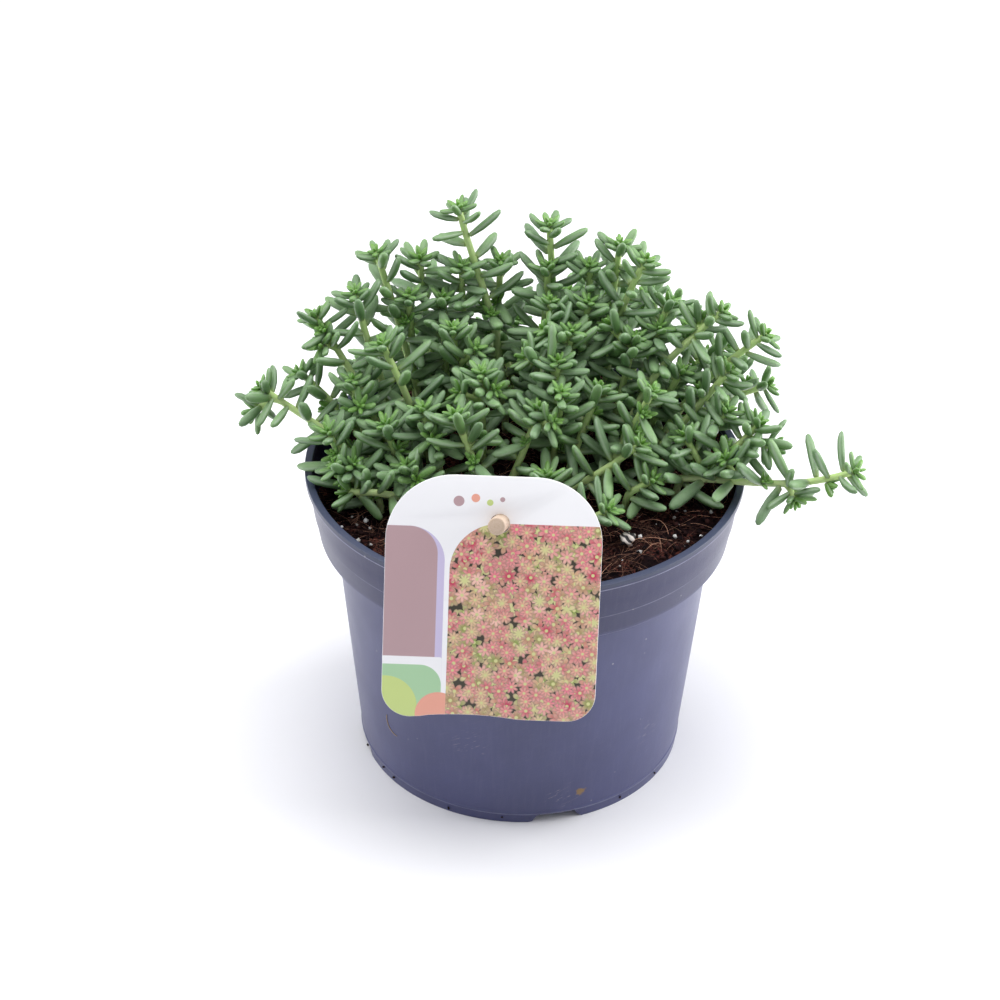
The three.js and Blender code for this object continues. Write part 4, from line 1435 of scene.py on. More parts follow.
@dataclass
class PotDirt:
    """Crumbs of soil that lie on the pot's foot ring, and a thin fibre stuck to its wall."""

    bench: Bench
    pot: Pot
    crumb_turns: tuple[float, ...] = (-162, -147.5, -141, -115.6, -96, -51.8, -33, 20, 75, 118, 160)
    fibre_turns: tuple[float, ...] = (-140.9, -141.2, -141.1, -140.7, -139.9, -138.8, -137.5, -136.4)
    fibre_heights: tuple[float, ...] = (27.3, 26.0, 24.6, 23.3, 22.3, 21.6, 21.2, 21.3)
    crumb_out: float = 0.25
    crumb_heights: tuple[float, float] = (1.0, 2.6)
    crumb_sizes: tuple[float, float] = (0.35, 0.7)
    crumb_flat: float = 0.8
    fibre_out: float = 0.1
    fibre_radius: float = 0.13

    def build(self) -> None:
        """Makes the crumbs and the fibre as two pieces."""
        pick = np.random.default_rng(SEED)
        bm = bmesh.new()
        for turn in np.radians(self.crumb_turns):
            radius = self.pot.foot_radius + self.crumb_out
            height = pick.uniform(*self.crumb_heights)
            place = Vector((radius * math.cos(turn), radius * math.sin(turn), height))
            rough_lump(bm, place, pick.uniform(*self.crumb_sizes), self.crumb_flat, 2, pick)
        finish = LitterFinish("foot_crumbs", (0.02, 0.012, 0.009), (0.12, 0.07, 0.04)).build()
        self.bench.place("foot_crumbs", bm, Slot.SOIL, [finish])
        thread = bmesh.new()
        turns, heights = np.radians(self.fibre_turns), np.array(self.fibre_heights)
        share = (heights - self.pot.foot_height) / (self.pot.collar_foot - self.pot.foot_height)
        taper = self.pot.body_top_radius - self.pot.body_foot_radius
        radius = self.pot.body_foot_radius + share * taper + self.fibre_out
        route = np.column_stack([radius * np.cos(turns), radius * np.sin(turns), heights])
        swept(thread, route, np.full(len(route), self.fibre_radius), 5)
        finish = LitterFinish("wall_fibre", (0.36, 0.27, 0.18), (0.44, 0.34, 0.22)).build()
        self.bench.place("wall_fibre", thread, Slot.SOIL, [finish])


# Soil


@dataclass
class SoilBed:
    """The root ball: damp potting soil, with crumbs, fibres, white grains and bits of litter on top."""

    bench: Bench
    pot: Pot
    level: float = 92.6
    tilt: float = 0.03
    dip: float = 4.5
    dip_place: tuple[float, float, float] = (-58.0, 2.0, 18.0)
    roughness: float = 0.7
    gap: float = 0.25
    steps: int = 260
    rings: int = 84
    top_edge: float = 84.0
    crumbs: int = 4400
    crumb_sizes: tuple[float, float, int] = (0.32, 1.1, 4)
    crumb_sunk: float = 0.45
    crumb_inset: float = 1.6
    lump_kinds: int = 8
    grains: int = 90
    grain_sizes: tuple[float, float, int] = (0.16, 0.5, 3)
    known_grain_sizes: tuple[float, float] = (0.6, 1.05)
    grain_sunk: float = 0.35
    grain_inset: float = 3.0
    left_grains: tuple[tuple[float, float], ...] = (
        (-50.3, -19.2), (-48.6, -23.2), (-46.1, -21.1), (-44.8, -24.1), (-52.9, -25.4), (-47.9, -31.3),
        (-44.0, -35.2))
    right_grains: tuple[tuple[float, float], ...] = (
        (44.3, -20.1), (46.7, -19.0), (43.4, -22.2), (33.2, -33.5), (54.2, -19.8), (43.3, -32.2),
        (46.9, -34.1), (50.8, -31.0), (32.7, -40.9))
    striped_lump: tuple[float, float] = (29.3, -35.9)
    striped_radius: float = 2.7
    striped_height: float = 1.6
    bud: tuple[float, float] = (32.4, -18.7)
    bud_leaves: int = 6
    bud_leaf_radius: float = 0.95
    bud_spread: float = 0.7
    bud_height: float = 1.3
    lump_layers: tuple[tuple[float, float], ...] = ((0.9, 3.4), (0.75, 1.5), (0.4, 0.7))

    def even_height(self, x: Any, y: Any) -> Any:
        """Gives the soil's height without any lumps, for numbers or rows of them.

        Args:
            x: how far to the right.
            y: how far to the back.

        Returns:
            The height, or a row of heights.
        """
        middle_x, middle_y, spread = self.dip_place
        away = (x - middle_x) ** 2 + (y - middle_y) ** 2
        return self.level + self.tilt * x - self.dip * np.exp(-away / (2 * spread ** 2))

    def height_at(self, x: float, y: float) -> float:
        """Gives the soil's smooth height at a place.

        Args:
            x: the place's x.
            y: the place's y.

        Returns:
            The height, without the fine lumps.
        """
        lumps = math.sin(x / 7 + 1) * math.cos(y / 9) + 0.6 * math.sin(x / 3.1 - y / 4.3)
        return float(self.even_height(x, y)) + self.roughness * lumps

    def rough_height(self, x: float, y: float) -> float:
        """Gives the soil's height with its lumps and crumbs."""
        place = Vector((x, y, 0.0))
        return self.height_at(x, y) + sum(high * noise.noise(place / wide) for high, wide in self.lump_layers)

    def bed(self) -> Shape:
        """Makes the root ball with its rough top.

        Returns:
            The root ball.
        """
        pot = self.pot
        floor = pot.foot_height + pot.floor_thickness + self.gap
        edge = pot.inner_radius(self.level) - self.gap
        step = pot.collar_foot + pot.wall + 2 * self.gap
        outline = [(0.0, floor), (pot.body_foot_radius - pot.wall - 2 * self.gap, floor),
                   (pot.body_top_radius - pot.wall - 2 * self.gap, step - 0.2),
                   (pot.collar_foot_radius - pot.wall - 2 * self.gap, step + self.gap),
                   (pot.inner_radius(self.top_edge) - self.gap, self.top_edge)]
        outline += [(edge * (1 - (number / self.rings)), self.level) for number in range(self.rings + 1)]
        bm = turned(outline, self.steps)
        for vert in bm.verts:
            if vert.co.z > self.level - 0.5:
                height = self.rough_height(vert.co.x, vert.co.y)
                inwards = min(1.0, (pot.inner_radius(height) - self.gap) / max(1.0, vert.co.xy.length))
                vert.co = Vector((inwards * vert.co.x, inwards * vert.co.y, height))
        return bm

    def spots(self, pick: Random, count: int, reach: float) -> Array:
        """Picks places on the bed, as far from the axis as reach.

        Args:
            pick: the random numbers.
            count: how many places.
            reach: the largest distance from the axis.

        Returns:
            Rows of x and y.
        """
        turn = pick.uniform(0, FULL_TURN, count)
        out = reach * np.sqrt(pick.uniform(size=count))
        return np.stack([out * np.cos(turn), out * np.sin(turn)], axis=1)

    def mostly_small(self, pick: Random, count: int, least: float, spread: float, power: int) -> Array:
        """Picks sizes, most of them near the least one.

        Args:
            pick: the random numbers.
            count: how many sizes.
            least: the least size.
            spread: how much larger the largest is.
            power: how rare the large ones are.

        Returns:
            The sizes.
        """
        return least + spread * pick.uniform(size=count) ** power

    def on_bed(self, spots: Array, above: Array) -> Array:
        """Gives places a little above the rough bed."""
        heights = [self.rough_height(*spot) for spot in spots]
        return np.column_stack([spots, np.array(heights) + above])

    def lumps(self, name: str, spots: Array, sizes: Array, sunk: float, fine: int,
              pick: Random) -> Mesh:
        """Makes lumps that lie on the bed.

        Args:
            name: the mesh's name.
            spots: their x and y.
            sizes: their radii.
            sunk: how high their middles are, as a share of their radii.
            fine: the icospheres' subdivisions.
            pick: the random numbers.

        Returns:
            The lumps.
        """
        templates = lump_meshes(self.lump_kinds, fine, pick)
        turns = random_turns(pick, len(sizes)) * sizes[:, None, None]
        kinds = np.arange(len(sizes)) % self.lump_kinds
        tones = pick.uniform(size=len(sizes)) ** 2
        return scattered(name, templates, kinds, self.on_bed(spots, sunk * sizes), turns, tones)

    def build(self) -> None:
        """Makes the soil's pieces."""
        self.bench.place("soil_bed", self.bed(), Slot.SOIL, [DampSoil("damp_soil").build()], ["soil"])
        pick = np.random.default_rng(SEED + 1)
        reach = self.pot.inner_radius(self.level)
        finish = LitterFinish("soil_crumbs", (0.004, 0.0024, 0.0038), (0.045, 0.0168, 0.0150), 0.95, 0.0004)
        spots = self.spots(pick, self.crumbs, reach - self.crumb_inset)
        sizes = self.mostly_small(pick, self.crumbs, *self.crumb_sizes)
        layer = self.lumps("soil_crumbs", spots, sizes, self.crumb_sunk, 1, pick)
        self.bench.place("soil_crumbs", layer, Slot.SOIL, [finish.build()])
        CoirFibres(self.bench, self, reach).build()
        finish = LitterFinish("perlite", (0.62, 0.61, 0.59), (0.92, 0.92, 0.92), 0.6, 0.0003)
        known = np.array([*self.left_grains, *self.right_grains])
        spots = np.vstack([known, self.spots(pick, self.grains, reach - self.grain_inset)])
        known_sizes = pick.uniform(*self.known_grain_sizes, len(known))
        sizes = np.concatenate([known_sizes, self.mostly_small(pick, self.grains, *self.grain_sizes)])
        layer = self.lumps("perlite_grains", spots, sizes, self.grain_sunk, 2, pick)
        self.bench.place("perlite_grains", layer, Slot.SOIL, [finish.build()])
        self.build_striped_lump()
        self.build_bud()

    def build_striped_lump(self) -> None:
        """Makes the black and white lump that lies by the label."""
        pick = np.random.default_rng(SEED + 4)
        x, y = self.striped_lump
        middle = Vector((x, y, self.height_at(x, y) + self.striped_height))
        bm = bmesh.new()
        rough_lump(bm, middle, self.striped_radius, 0.9, 3, pick)
        finish = StripedShell("striped_lump", self.bench.metres(middle)).build()
        self.bench.place("striped_lump", bm, Slot.SOIL, [finish])

    def build_bud(self) -> None:
        """Makes the fallen pale bud that lies on the soil."""
        pick = np.random.default_rng(SEED + 5)
        x, y = self.bud
        bm = bmesh.new()
        layer = bm.verts.layers.float.new("chance")
        height = self.height_at(x, y) + self.bud_height
        for number in range(self.bud_leaves):
            turn = number * GOLDEN_TURN
            right, back = self.bud_spread * math.cos(turn), self.bud_spread * math.sin(turn)
            place = Vector((x + right, y + back, height))
            tone = pick.uniform()
            for vert in rough_lump(bm, place, self.bud_leaf_radius, 1.3, 2, pick):
                vert[layer] = tone
        finish = LitterFinish("fallen_bud", (0.30, 0.34, 0.17), (0.62, 0.60, 0.42), 0.6).build()
        self.bench.place("fallen_bud", bm, Slot.SOIL, [finish])


@dataclass
class CoirFibres:
    """The coir fibres that lie across the soil, each a thin curled strand."""

    bench: Bench
    soil: SoilBed
    reach: float
    count: int = 2300
    rings: int = 8
    sides: int = 3
    lengths: tuple[float, float] = (3.0, 14.0)
    radii: tuple[float, float] = (0.035, 0.09)
    thinning: float = 0.5
    curl: float = 0.09
    inset: float = 5.0
    edge_gap: float = 0.6
    above: float = 0.75
    arch: tuple[float, float] = (0.3, 1.0)
    waver: float = 0.08
    pale_ones: int = 4

    def strand(self) -> Mesh:
        """Makes the strand of unit size that is copied: its rings are 1 apart along Z."""
        bm = bmesh.new()
        route = np.column_stack([np.zeros((self.rings, 2)), np.arange(self.rings)])
        swept(bm, route, np.ones(self.rings), self.sides)
        return as_mesh("strand", bm)

    def routes(self, pick: Random) -> tuple[Array, Array]:
        """Lays the fibres on the soil.

        Args:
            pick: the random numbers.

        Returns:
            The direction of each step of each fibre, as an angle, and the points along each.
        """
        count, rings = self.count, self.rings
        length = pick.uniform(*self.lengths, count)[:, None] / (rings - 1)
        turns = pick.uniform(0, FULL_TURN, count)[:, None]
        turns = turns + pick.normal(0, self.curl, count)[:, None] * length * np.arange(rings)
        steps = np.stack([np.cos(turns), np.sin(turns)], axis=2) * length[:, :, None]
        level = self.soil.spots(pick, count, self.reach - self.inset)[:, None] + np.cumsum(steps, axis=1)
        level *= np.minimum(1.0, (self.reach - self.edge_gap) / np.linalg.norm(level, axis=2, keepdims=True))
        bow = np.sin(np.linspace(0, math.pi, rings))
        arch = np.maximum(0.0, pick.normal(*self.arch, count))[:, None] * bow
        ground = np.array([[self.soil.height_at(*spot) for spot in row] for row in level])
        height = ground + self.above + arch + pick.normal(0, self.waver, arch.shape)
        return turns, np.concatenate([level, height[:, :, None]], axis=2)

    def build(self) -> None:
        """Makes the fibres' piece."""
        pick = np.random.default_rng(SEED + 2)
        strand = self.strand()
        turns, route = self.routes(pick)
        taper = 1.0 - self.thinning * np.linspace(0, 1, self.rings)
        thin = pick.uniform(*self.radii, self.count)[:, None] * taper
        shape = vertex_places(strand)
        ring = np.rint(shape[:, 2]).astype(int)
        side = np.stack([-np.sin(turns), np.cos(turns), np.zeros_like(turns)], axis=2)[:, ring]
        around = side * shape[None, :, 0:1] + np.array((0.0, 0.0, 1.0)) * shape[None, :, 1:2]
        places = route[:, ring] + around * thin[:, ring][:, :, None]
        bm = bmesh.new()
        bm.verts.layers.float.new("chance")
        add_copies(bm, strand, self.count)
        mesh = as_mesh("soil_fibres", bm)
        tones = np.repeat(pick.uniform(size=self.count) ** self.pale_ones, len(shape))
        set_values(mesh, 0, {"co": places.reshape(-1, 3), "chance": tones})
        finish = LitterFinish("coir_fibres", (0.036, 0.011, 0.009), (0.84, 0.46, 0.31), 0.7)
        self.bench.place("soil_fibres", mesh, Slot.SOIL, [finish.build()])


# Label and peg


@dataclass
class PlantLabel:
    """The plastic plate that leans on the pot, with round upper corners and a hole for the peg."""

    bench: Bench
    width: float = 60.0
    height: float = 71.0
    thickness: float = 0.5
    top_corner: float = 19.0
    foot_corner: float = 8.0
    foot_rise: float = 1.1
    lean: float = math.radians(18)
    roll: float = math.radians(1.2)
    hole: Point = (-7.1, -59.1, 116.3)
    hole_radius: float = 2.75
    hole_below_top: float = 13.5
    hole_off_centre: float = 1.5
    rim_radius: float = 0.12
    wave_steps: int = 15
    wave_middle: float = -0.3
    wave_reach: float = 0.7

    @property
    def turn(self) -> Matrix:
        """The plate's place: x to its right, y to its top and z out of its front, about the hole."""
        lean = Matrix.Rotation(math.pi / 2 - self.lean, 4, "X")
        return Matrix.Translation(self.hole) @ lean @ Matrix.Rotation(-self.roll, 4, "Z")

    @property
    def right(self) -> float:
        """The plate's right side."""
        return self.width / 2 - self.hole_off_centre

    @property
    def left(self) -> float:
        """The plate's left side."""
        return self.right - self.width

    @property
    def top(self) -> float:
        """The plate's top."""
        return self.hole_below_top

    @property
    def foot(self) -> float:
        """The plate's foot."""
        return self.top - self.height

    def plate(self) -> Shape:
        """Makes the plate, flat, about its hole.

        Returns:
            The plate.
        """
        bm = bmesh.new()
        bmesh.ops.create_grid(bm, x_segments=1, y_segments=1, size=0.5)
        bmesh.ops.scale(bm, verts=bm.verts, vec=(self.width, self.height, 1.0))
        middle = ((self.left + self.right) / 2, (self.foot + self.top) / 2, -self.thickness / 2)
        bmesh.ops.translate(bm, verts=bm.verts, vec=middle)
        upper = [vert for vert in bm.verts if vert.co.y > middle[1]]
        lower = [vert for vert in bm.verts if vert.co.y < middle[1]]
        for corners, radius in ((upper, self.top_corner), (lower, self.foot_corner)):
            bmesh.ops.bevel(bm, geom=corners, offset=radius, segments=14, profile=0.5, affect="VERTICES",
                            material=-1)
        foot = [edge for edge in bm.edges if all(abs(vert.co.y - self.foot) < 1e-3 for vert in edge.verts)]
        bmesh.ops.subdivide_edges(bm, edges=foot, cuts=self.wave_steps)
        half = self.width / 2 - self.foot_corner
        for vert in bm.verts:
            if abs(vert.co.y - self.foot) < 1e-3:
                across = (vert.co.x - middle[0]) / half
                wave = max(0.0, 1.0 - ((across - self.wave_middle) / self.wave_reach) ** 2)
                vert.co.y += self.foot_rise * wave * min(1.0, 4 - 4 * abs(across))
        grown = bmesh.ops.extrude_face_region(bm, geom=bm.faces[:])["geom"]
        moved = [item for item in grown if isinstance(item, bmesh.types.BMVert)]
        bmesh.ops.translate(bm, verts=moved, vec=(0.0, 0.0, self.thickness))
        bmesh.ops.recalc_face_normals(bm, faces=bm.faces)
        cutter = bmesh.new()
        add_rod(cutter, self.hole_radius, 4 * self.thickness, 48, Matrix.Identity(4))
        bm = pierced(bm, cutter)
        rounded_rims(bm, self.rim_radius, 2)
        return bm

    def build(self) -> None:
        """Makes the label's piece, with the print's map on it."""
        bm = self.plate()
        flat = bm.loops.layers.uv.new("print")
        printed = bm.verts.layers.float.new("printed")
        for vert in bm.verts:
            vert[printed] = 1.0 if vert.co.z > self.thickness / 2 - 0.01 else 0.0
        for face in bm.faces:
            for loop in face.loops:
                place = loop.vert.co
                loop[flat].uv = ((place.x - self.left) / self.width, (place.y - self.foot) / self.height)
        bmesh.ops.transform(bm, matrix=self.turn, verts=bm.verts)
        finish = PrintedCard("printed_card", self.width, self.height).build()
        self.bench.place("label_card", bm, Slot.LABEL, [finish], ["label"])


@dataclass
class LabelPeg:
    """The wooden peg that pins the label to the soil."""

    bench: Bench
    label: PlantLabel
    radius: float = 2.5
    proud: float = 6.0
    length: float = 72.0
    slope: float = math.radians(26)
    turn: float = math.radians(10)
    rim_radius: float = 0.45

    @property
    def inwards(self) -> Vector:
        """The direction from the peg's face into the soil."""
        level = math.cos(self.slope)
        return Vector((math.sin(self.turn) * level, math.cos(self.turn) * level, -math.sin(self.slope)))

    @property
    def face(self) -> Vector:
        """The middle of the peg's face, in front of the label."""
        return Vector(self.label.hole) - self.proud * self.inwards

    @property
    def tip(self) -> Vector:
        """The middle of the peg's other end, in the soil."""
        return self.face + self.length * self.inwards

    def push_off(self, points: Array, rooms: Array) -> Array:
        """Gives the moves that bring round things clear of the peg.

        Args:
            points: their middles.
            rooms: the room that each needs.

        Returns:
            A move for each.
        """
        rod = np.array(self.tip - self.face)
        start = np.array(self.face)
        share = np.clip((points - start) @ rod / (rod @ rod), 0.0, 1.0)
        away = points - start - share[:, None] * rod
        distance = np.linalg.norm(away, axis=1)
        short = np.maximum(0.0, rooms + self.radius - distance)
        return away * (short / np.maximum(distance, 1e-9))[:, None]

    def build(self) -> None:
        """Makes the peg's piece."""
        bm = bmesh.new()
        turn = self.inwards.to_track_quat("Z", "Y").to_matrix().to_4x4()
        add_rod(bm, self.radius, self.length, 40, Matrix.Translation((self.face + self.tip) / 2) @ turn)
        rounded_rims(bm, self.rim_radius, 3)
        finish = PegWood("peg_wood", self.bench.metres(self.face), tuple(self.inwards)).build()
        self.bench.place("label_peg_rod", bm, Slot.PEG, [finish], ["label_peg"])


# Plant


@dataclass(frozen=True)
class Sprout:
    """A side sprout: the share of the stem's length where it leaves, and its tip."""

    share: float
    tip: Point


@dataclass(frozen=True)
class Shoot:
    """A rooted stem: it runs from its root through some points to its tip."""

    name: str
    root: tuple[float, float]
    via: tuple[Point, ...]
    tip: Point
    sprouts: tuple[Sprout, ...] = ()


SHOOTS = (
    Shoot("crown", (-6, 24), ((-8, 28, 124), (-12, 31, 136), (-19, 36, 152)), (-21, 38, 163)),
    Shoot("left_back_1", (-17, 33), ((-20, 32, 136),), (-19, 33, 147)),
    Shoot("left_back_2", (-9, 38), ((-9, 36, 126),), (-8, 37, 146)),
    Shoot("left_1", (-30, 24), ((-36, 26, 123), (-42, 29, 142)), (-45, 30, 152)),
    Shoot("left_2", (-26, 38), ((-32, 35, 135),), (-32, 36, 147)),
    Shoot("left_3", (-37, 14), ((-43, 16, 117), (-49, 21, 130)), (-51, 22, 143)),
    Shoot("left_4", (-33, 31), ((-35, 25, 130),), (-35, 26, 140)),
    Shoot("left_5", (-23, 26), ((-25, 28, 125),), (-25, 28, 138)),
    Shoot("left_6", (-39, 5), ((-48, 12, 114), (-53, 16, 121)), (-63, 20, 136),
          (Sprout(0.72, (-62, 14, 128)),)),
    Shoot("left_7", (-27, -4), ((-32, 0, 113), (-37, 6, 123)), (-43, 8, 134)),
    Shoot("left_8", (-18, 12), ((-21, 15, 125),), (-22, 16, 135), (Sprout(0.55, (-14, 12, 130)),)),
    Shoot("left_9", (-45, 11), ((-56, 9, 111),), (-68, 14, 120)),
    Shoot("left_10", (-44, 2), ((-50, 3, 111),), (-51, 4, 124), (Sprout(0.6, (-48, -3, 118)),)),
    Shoot("left_trailing", (-44, -6), ((-53, -3, 107), (-65, 2, 111)), (-79, 6, 119),
          (Sprout(0.78, (-81, 6, 109)),)),
    Shoot("front_1", (-12, -3), ((-13, -5, 116),), (-13, -2, 131),
          (Sprout(0.62, (-21, -3, 124)), Sprout(0.7, (-8, -5, 126)))),
    Shoot("front_2", (-34, -10), ((-40, -10, 109),), (-41, -9, 117)),
    Shoot("front_3", (-48, -12), ((-54, -10, 104),), (-58, -9, 114)),
    Shoot("front_4", (-42, -16), ((-50, -16, 98),), (-56, -13, 107), (Sprout(0.5, (-49, -15, 107)),)),
    Shoot("front_5", (-29, -17), ((-34, -17, 101),), (-35, -17, 108), (Sprout(0.5, (-31, -22, 105)),)),
    Shoot("front_6", (-29, -24), ((-38, -18, 101),), (-53, -17, 98)),
    Shoot("front_7", (-10, -19), ((-15, -17, 108),), (-21, -14, 124), (Sprout(0.6, (-13, -12, 116)),)),
    Shoot("front_8", (-24, -9), ((-28, -9, 112),), (-30, -8, 122), (Sprout(0.55, (-27, -15, 115)),)),
    Shoot("front_9", (-5, -14), ((1, -12, 111),), (4, -8, 123), (Sprout(0.7, (9, -14, 121)),)),
    Shoot("front_10", (8, -3), ((10, -7, 117),), (10, -6, 127)),
    Shoot("front_11", (8, 6), ((9, 1, 121),), (9, 3, 132), (Sprout(0.7, (-2, 7, 130)),)),
    Shoot("front_12", (12, -10), ((16, -6, 113),), (22, 0, 125)),
    Shoot("front_13", (23, -9), ((29, -10, 112),), (37, -6, 128)),
    Shoot("front_14", (11, -17), ((20, -18, 103),), (34, -15, 115)),
    Shoot("front_15", (29, -20), ((34, -22, 102),), (38, -21, 107)),
    Shoot("front_16", (18, -32), (), (25, -33, 104)),
    Shoot("front_17", (7, -25), (), (6, -22, 109)),
    Shoot("middle_1", (3, 17), ((6, 20, 128),), (7, 22, 141)),
    Shoot("middle_2", (10, 31), ((8, 34, 132),), (6, 38, 158)),
    Shoot("middle_3", (2, 27), ((6, 30, 132),), (6, 32, 147)),
    Shoot("middle_4", (11, 10), ((12, 11, 127),), (13, 12, 137), (Sprout(0.75, (4, 15, 135)),)),
    Shoot("middle_5", (14, 20), (), (18, 22, 141)),
    Shoot("middle_6", (17, 35), ((19, 31, 137),), (18, 31, 148)),
    Shoot("middle_7", (24, 28), ((25, 31, 135),), (27, 32, 155)),
    Shoot("middle_8", (22, 15), ((25, 24, 134),), (35, 26, 153)),
    Shoot("middle_9", (25, 8), ((29, 12, 122),), (32, 14, 134), (Sprout(0.7, (23, 17, 136)),)),
    Shoot("right_1", (32, 19), (), (39, 16, 136), (Sprout(0.7, (42, 23, 141)),)),
    Shoot("right_2", (27, 1), ((34, 8, 123), (46, 13, 131)), (58, 16, 142), (Sprout(0.75, (52, 19, 138)),)),
    Shoot("right_3", (38, 6), ((48, 9, 118), (58, 13, 125)), (71, 14, 135)),
    Shoot("right_4", (34, -3), ((48, 1, 113),), (60, 6, 128), (Sprout(0.65, (50, 5, 122)),)),
    Shoot("right_5", (35, 11), (), (46, 8, 126)),
    Shoot("right_6", (42, -4), ((55, -5, 107),), (59, -2, 119)),
    Shoot("right_7", (44, -12), ((60, -9, 104),), (69, -4, 116), (Sprout(0.7, (73, -6, 107)),)),
    Shoot("right_trailing", (34, -13), ((48, -13, 103), (68, -15, 100), (86, -16, 101)), (97, -16, 107),
          (Sprout(0.3, (45, -9, 115)), Sprout(0.45, (57, -14, 110)), Sprout(0.62, (79, -20, 97)))),
    Shoot("back_1", (-22, 47), (), (-33, 59, 105), (Sprout(0.6, (-24, 62, 101)),)),
    Shoot("back_2", (-38, 35), (), (-51, 45, 104), (Sprout(0.6, (-46, 37, 108)),)),
    Shoot("back_3", (-4, 47), (), (-11, 63, 107), (Sprout(0.6, (-2, 60, 111)),)),
    Shoot("back_4", (8, 46), ((9, 55, 112),), (10, 68, 116), (Sprout(0.6, (12, 55, 124)),)),
    Shoot("back_5", (20, 45), ((24, 53, 114),), (29, 66, 119), (Sprout(0.6, (23, 52, 129)),)),
    Shoot("back_6", (30, 37), ((36, 45, 115),), (47, 56, 120), (Sprout(0.6, (35, 43, 130)),)),
    Shoot("back_7", (39, 28), ((47, 32, 112),), (62, 39, 116), (Sprout(0.6, (48, 31, 127)),)),
    Shoot("back_8", (45, 16), ((56, 20, 108),), (74, 24, 111), (Sprout(0.55, (60, 24, 119)),)),
)


@dataclass
class Route:
    """The middle line of a stem or a side sprout."""

    shoot: int
    points: Array
    start: int | None = None

    def rooms(self, stem: float, tip: float) -> Array:
        """Gives the room that each point keeps free, more at the tip.

        Args:
            stem: the room along the stem.
            tip: the room of the last two points.

        Returns:
            A room for each point.
        """
        rooms = np.full(len(self.points), stem)
        rooms[-2:] = tip
        return rooms


@dataclass
class StemPlan:
    """Works out how the stems run, and spreads them where they crowd."""

    soil: SoilBed
    peg: LabelPeg
    step: float = 5.0
    root_top: float = 1.0
    root_rise: float = 5.0
    corner_cut: float = 0.25
    side_bend: float = 0.35
    stem_room: float = 1.5
    tip_room: float = 3.0
    rounds: int = 60
    push: float = 0.45
    smoothing: float = 0.2
    returning: float = 0.03

    def rounded(self, line: Array) -> Array:
        """Rounds a line of points by cutting its corners twice, and keeps its ends.

        Args:
            line: the points.

        Returns:
            The rounded line's points.
        """
        for _ in range(2):
            early = line[:-1] + self.corner_cut * (line[1:] - line[:-1])
            late = line[1:] + self.corner_cut * (line[:-1] - line[1:])
            inner = np.stack([early, late], axis=1).reshape(-1, 3)
            line = np.vstack([line[:1], inner, line[-1:]])
        return line

    def even(self, line: Array, step: float) -> Array:
        """Gives points at even distances along a line of points.

        Args:
            line: the points.
            step: about how far apart the new ones are.

        Returns:
            The new points.
        """
        lengths = np.concatenate([[0.0], np.cumsum(np.linalg.norm(np.diff(line, axis=0), axis=1))])
        count = max(3, math.floor(lengths[-1] / step + 0.5))
        marks = np.linspace(0.0, lengths[-1], count + 1)
        return np.stack([np.interp(marks, lengths, line[:, part]) for part in range(3)], axis=1)

    def stem(self, number: int, shoot: Shoot) -> Route:
        """Lays a shoot's stem from its root to its tip.

        Args:
            number: the shoot's number.
            shoot: the shoot.

        Returns:
            The stem's route.
        """
        x, y = shoot.root
        ground = self.soil.height_at(x, y) + self.root_top
        line = np.array([(x, y, ground), (x, y, ground + self.root_rise), *shoot.via, shoot.tip], dtype=float)
        return Route(number, self.even(self.rounded(line), self.step))

    def side(self, number: int, stem: Route, sprout: Sprout) -> Route:
        """Lays a side sprout from its stem to its tip.

        Args:
            number: the shoot's number.
            stem: its stem's route.
            sprout: the sprout.

        Returns:
            The sprout's route.
        """
        start = math.floor(sprout.share * (len(stem.points) - 1) + 0.5)
        base = stem.points[start]
        tip = np.array(sprout.tip, dtype=float)
        along = unit(stem.points[start + 1] - base)
        bend = base + self.side_bend * float(np.linalg.norm(tip - base)) * along
        return Route(number, self.even(self.rounded(np.array([base, bend, tip])), self.step), start)

    def lay(self) -> list[Route]:
        """Lays all stems and sprouts and spreads them.

        Returns:
            The routes: every stem, then every side sprout.
        """
        stems = [self.stem(number, shoot) for number, shoot in enumerate(SHOOTS)]
        sides = [self.side(number, stems[number], sprout)
                 for number, shoot in enumerate(SHOOTS) for sprout in shoot.sprouts]
        routes = stems + sides
        counts = [len(route.points) for route in routes]
        firsts = np.concatenate([[0], np.cumsum(counts)[:-1]])
        places = np.vstack([route.points for route in routes])
        homes = places.copy()
        rooms = np.concatenate([route.rooms(self.stem_room, self.tip_room) for route in routes])
        owners = np.repeat([route.shoot for route in routes], counts)
        order = np.concatenate([np.arange(count) for count in counts])
        last = order == np.repeat(counts, counts) - 1
        loose = order >= 2
        needed = rooms[:, None] + rooms[None, :]
        strangers = owners[:, None] != owners[None, :]
        for _ in range(self.rounds):
            away = places[:, None, :] - places[None, :, :]
            distance = np.linalg.norm(away, axis=2)
            near = strangers & (distance < needed) & (distance > 0)
            share = np.where(near, self.push * (needed - distance) / np.maximum(distance, 1e-9), 0.0)
            moves = np.einsum("ij,ijk->ik", share, away) + self.peg.push_off(places, rooms)
            middles = (np.roll(places, 1, axis=0) + np.roll(places, -1, axis=0)) / 2
            moves += np.where(last, 0.0, self.smoothing)[:, None] * (middles - places)
            moves += self.returning * (homes - places)
            places[loose] += moves[loose]
            for route, first in zip(routes, firsts):
                if route.start is not None:
                    shift = places[firsts[route.shoot] + route.start] - places[first]
                    places[first:first + 2] += shift
        for route, first, count in zip(routes, firsts, counts):
            route.points = places[first:first + count]
        return routes


class LeafKind(Enum):
    """The leaf shapes: a grown leaf, and the small plump one of a bud."""

    GROWN = "grown_leaf"
    SMALL = "small_leaf"


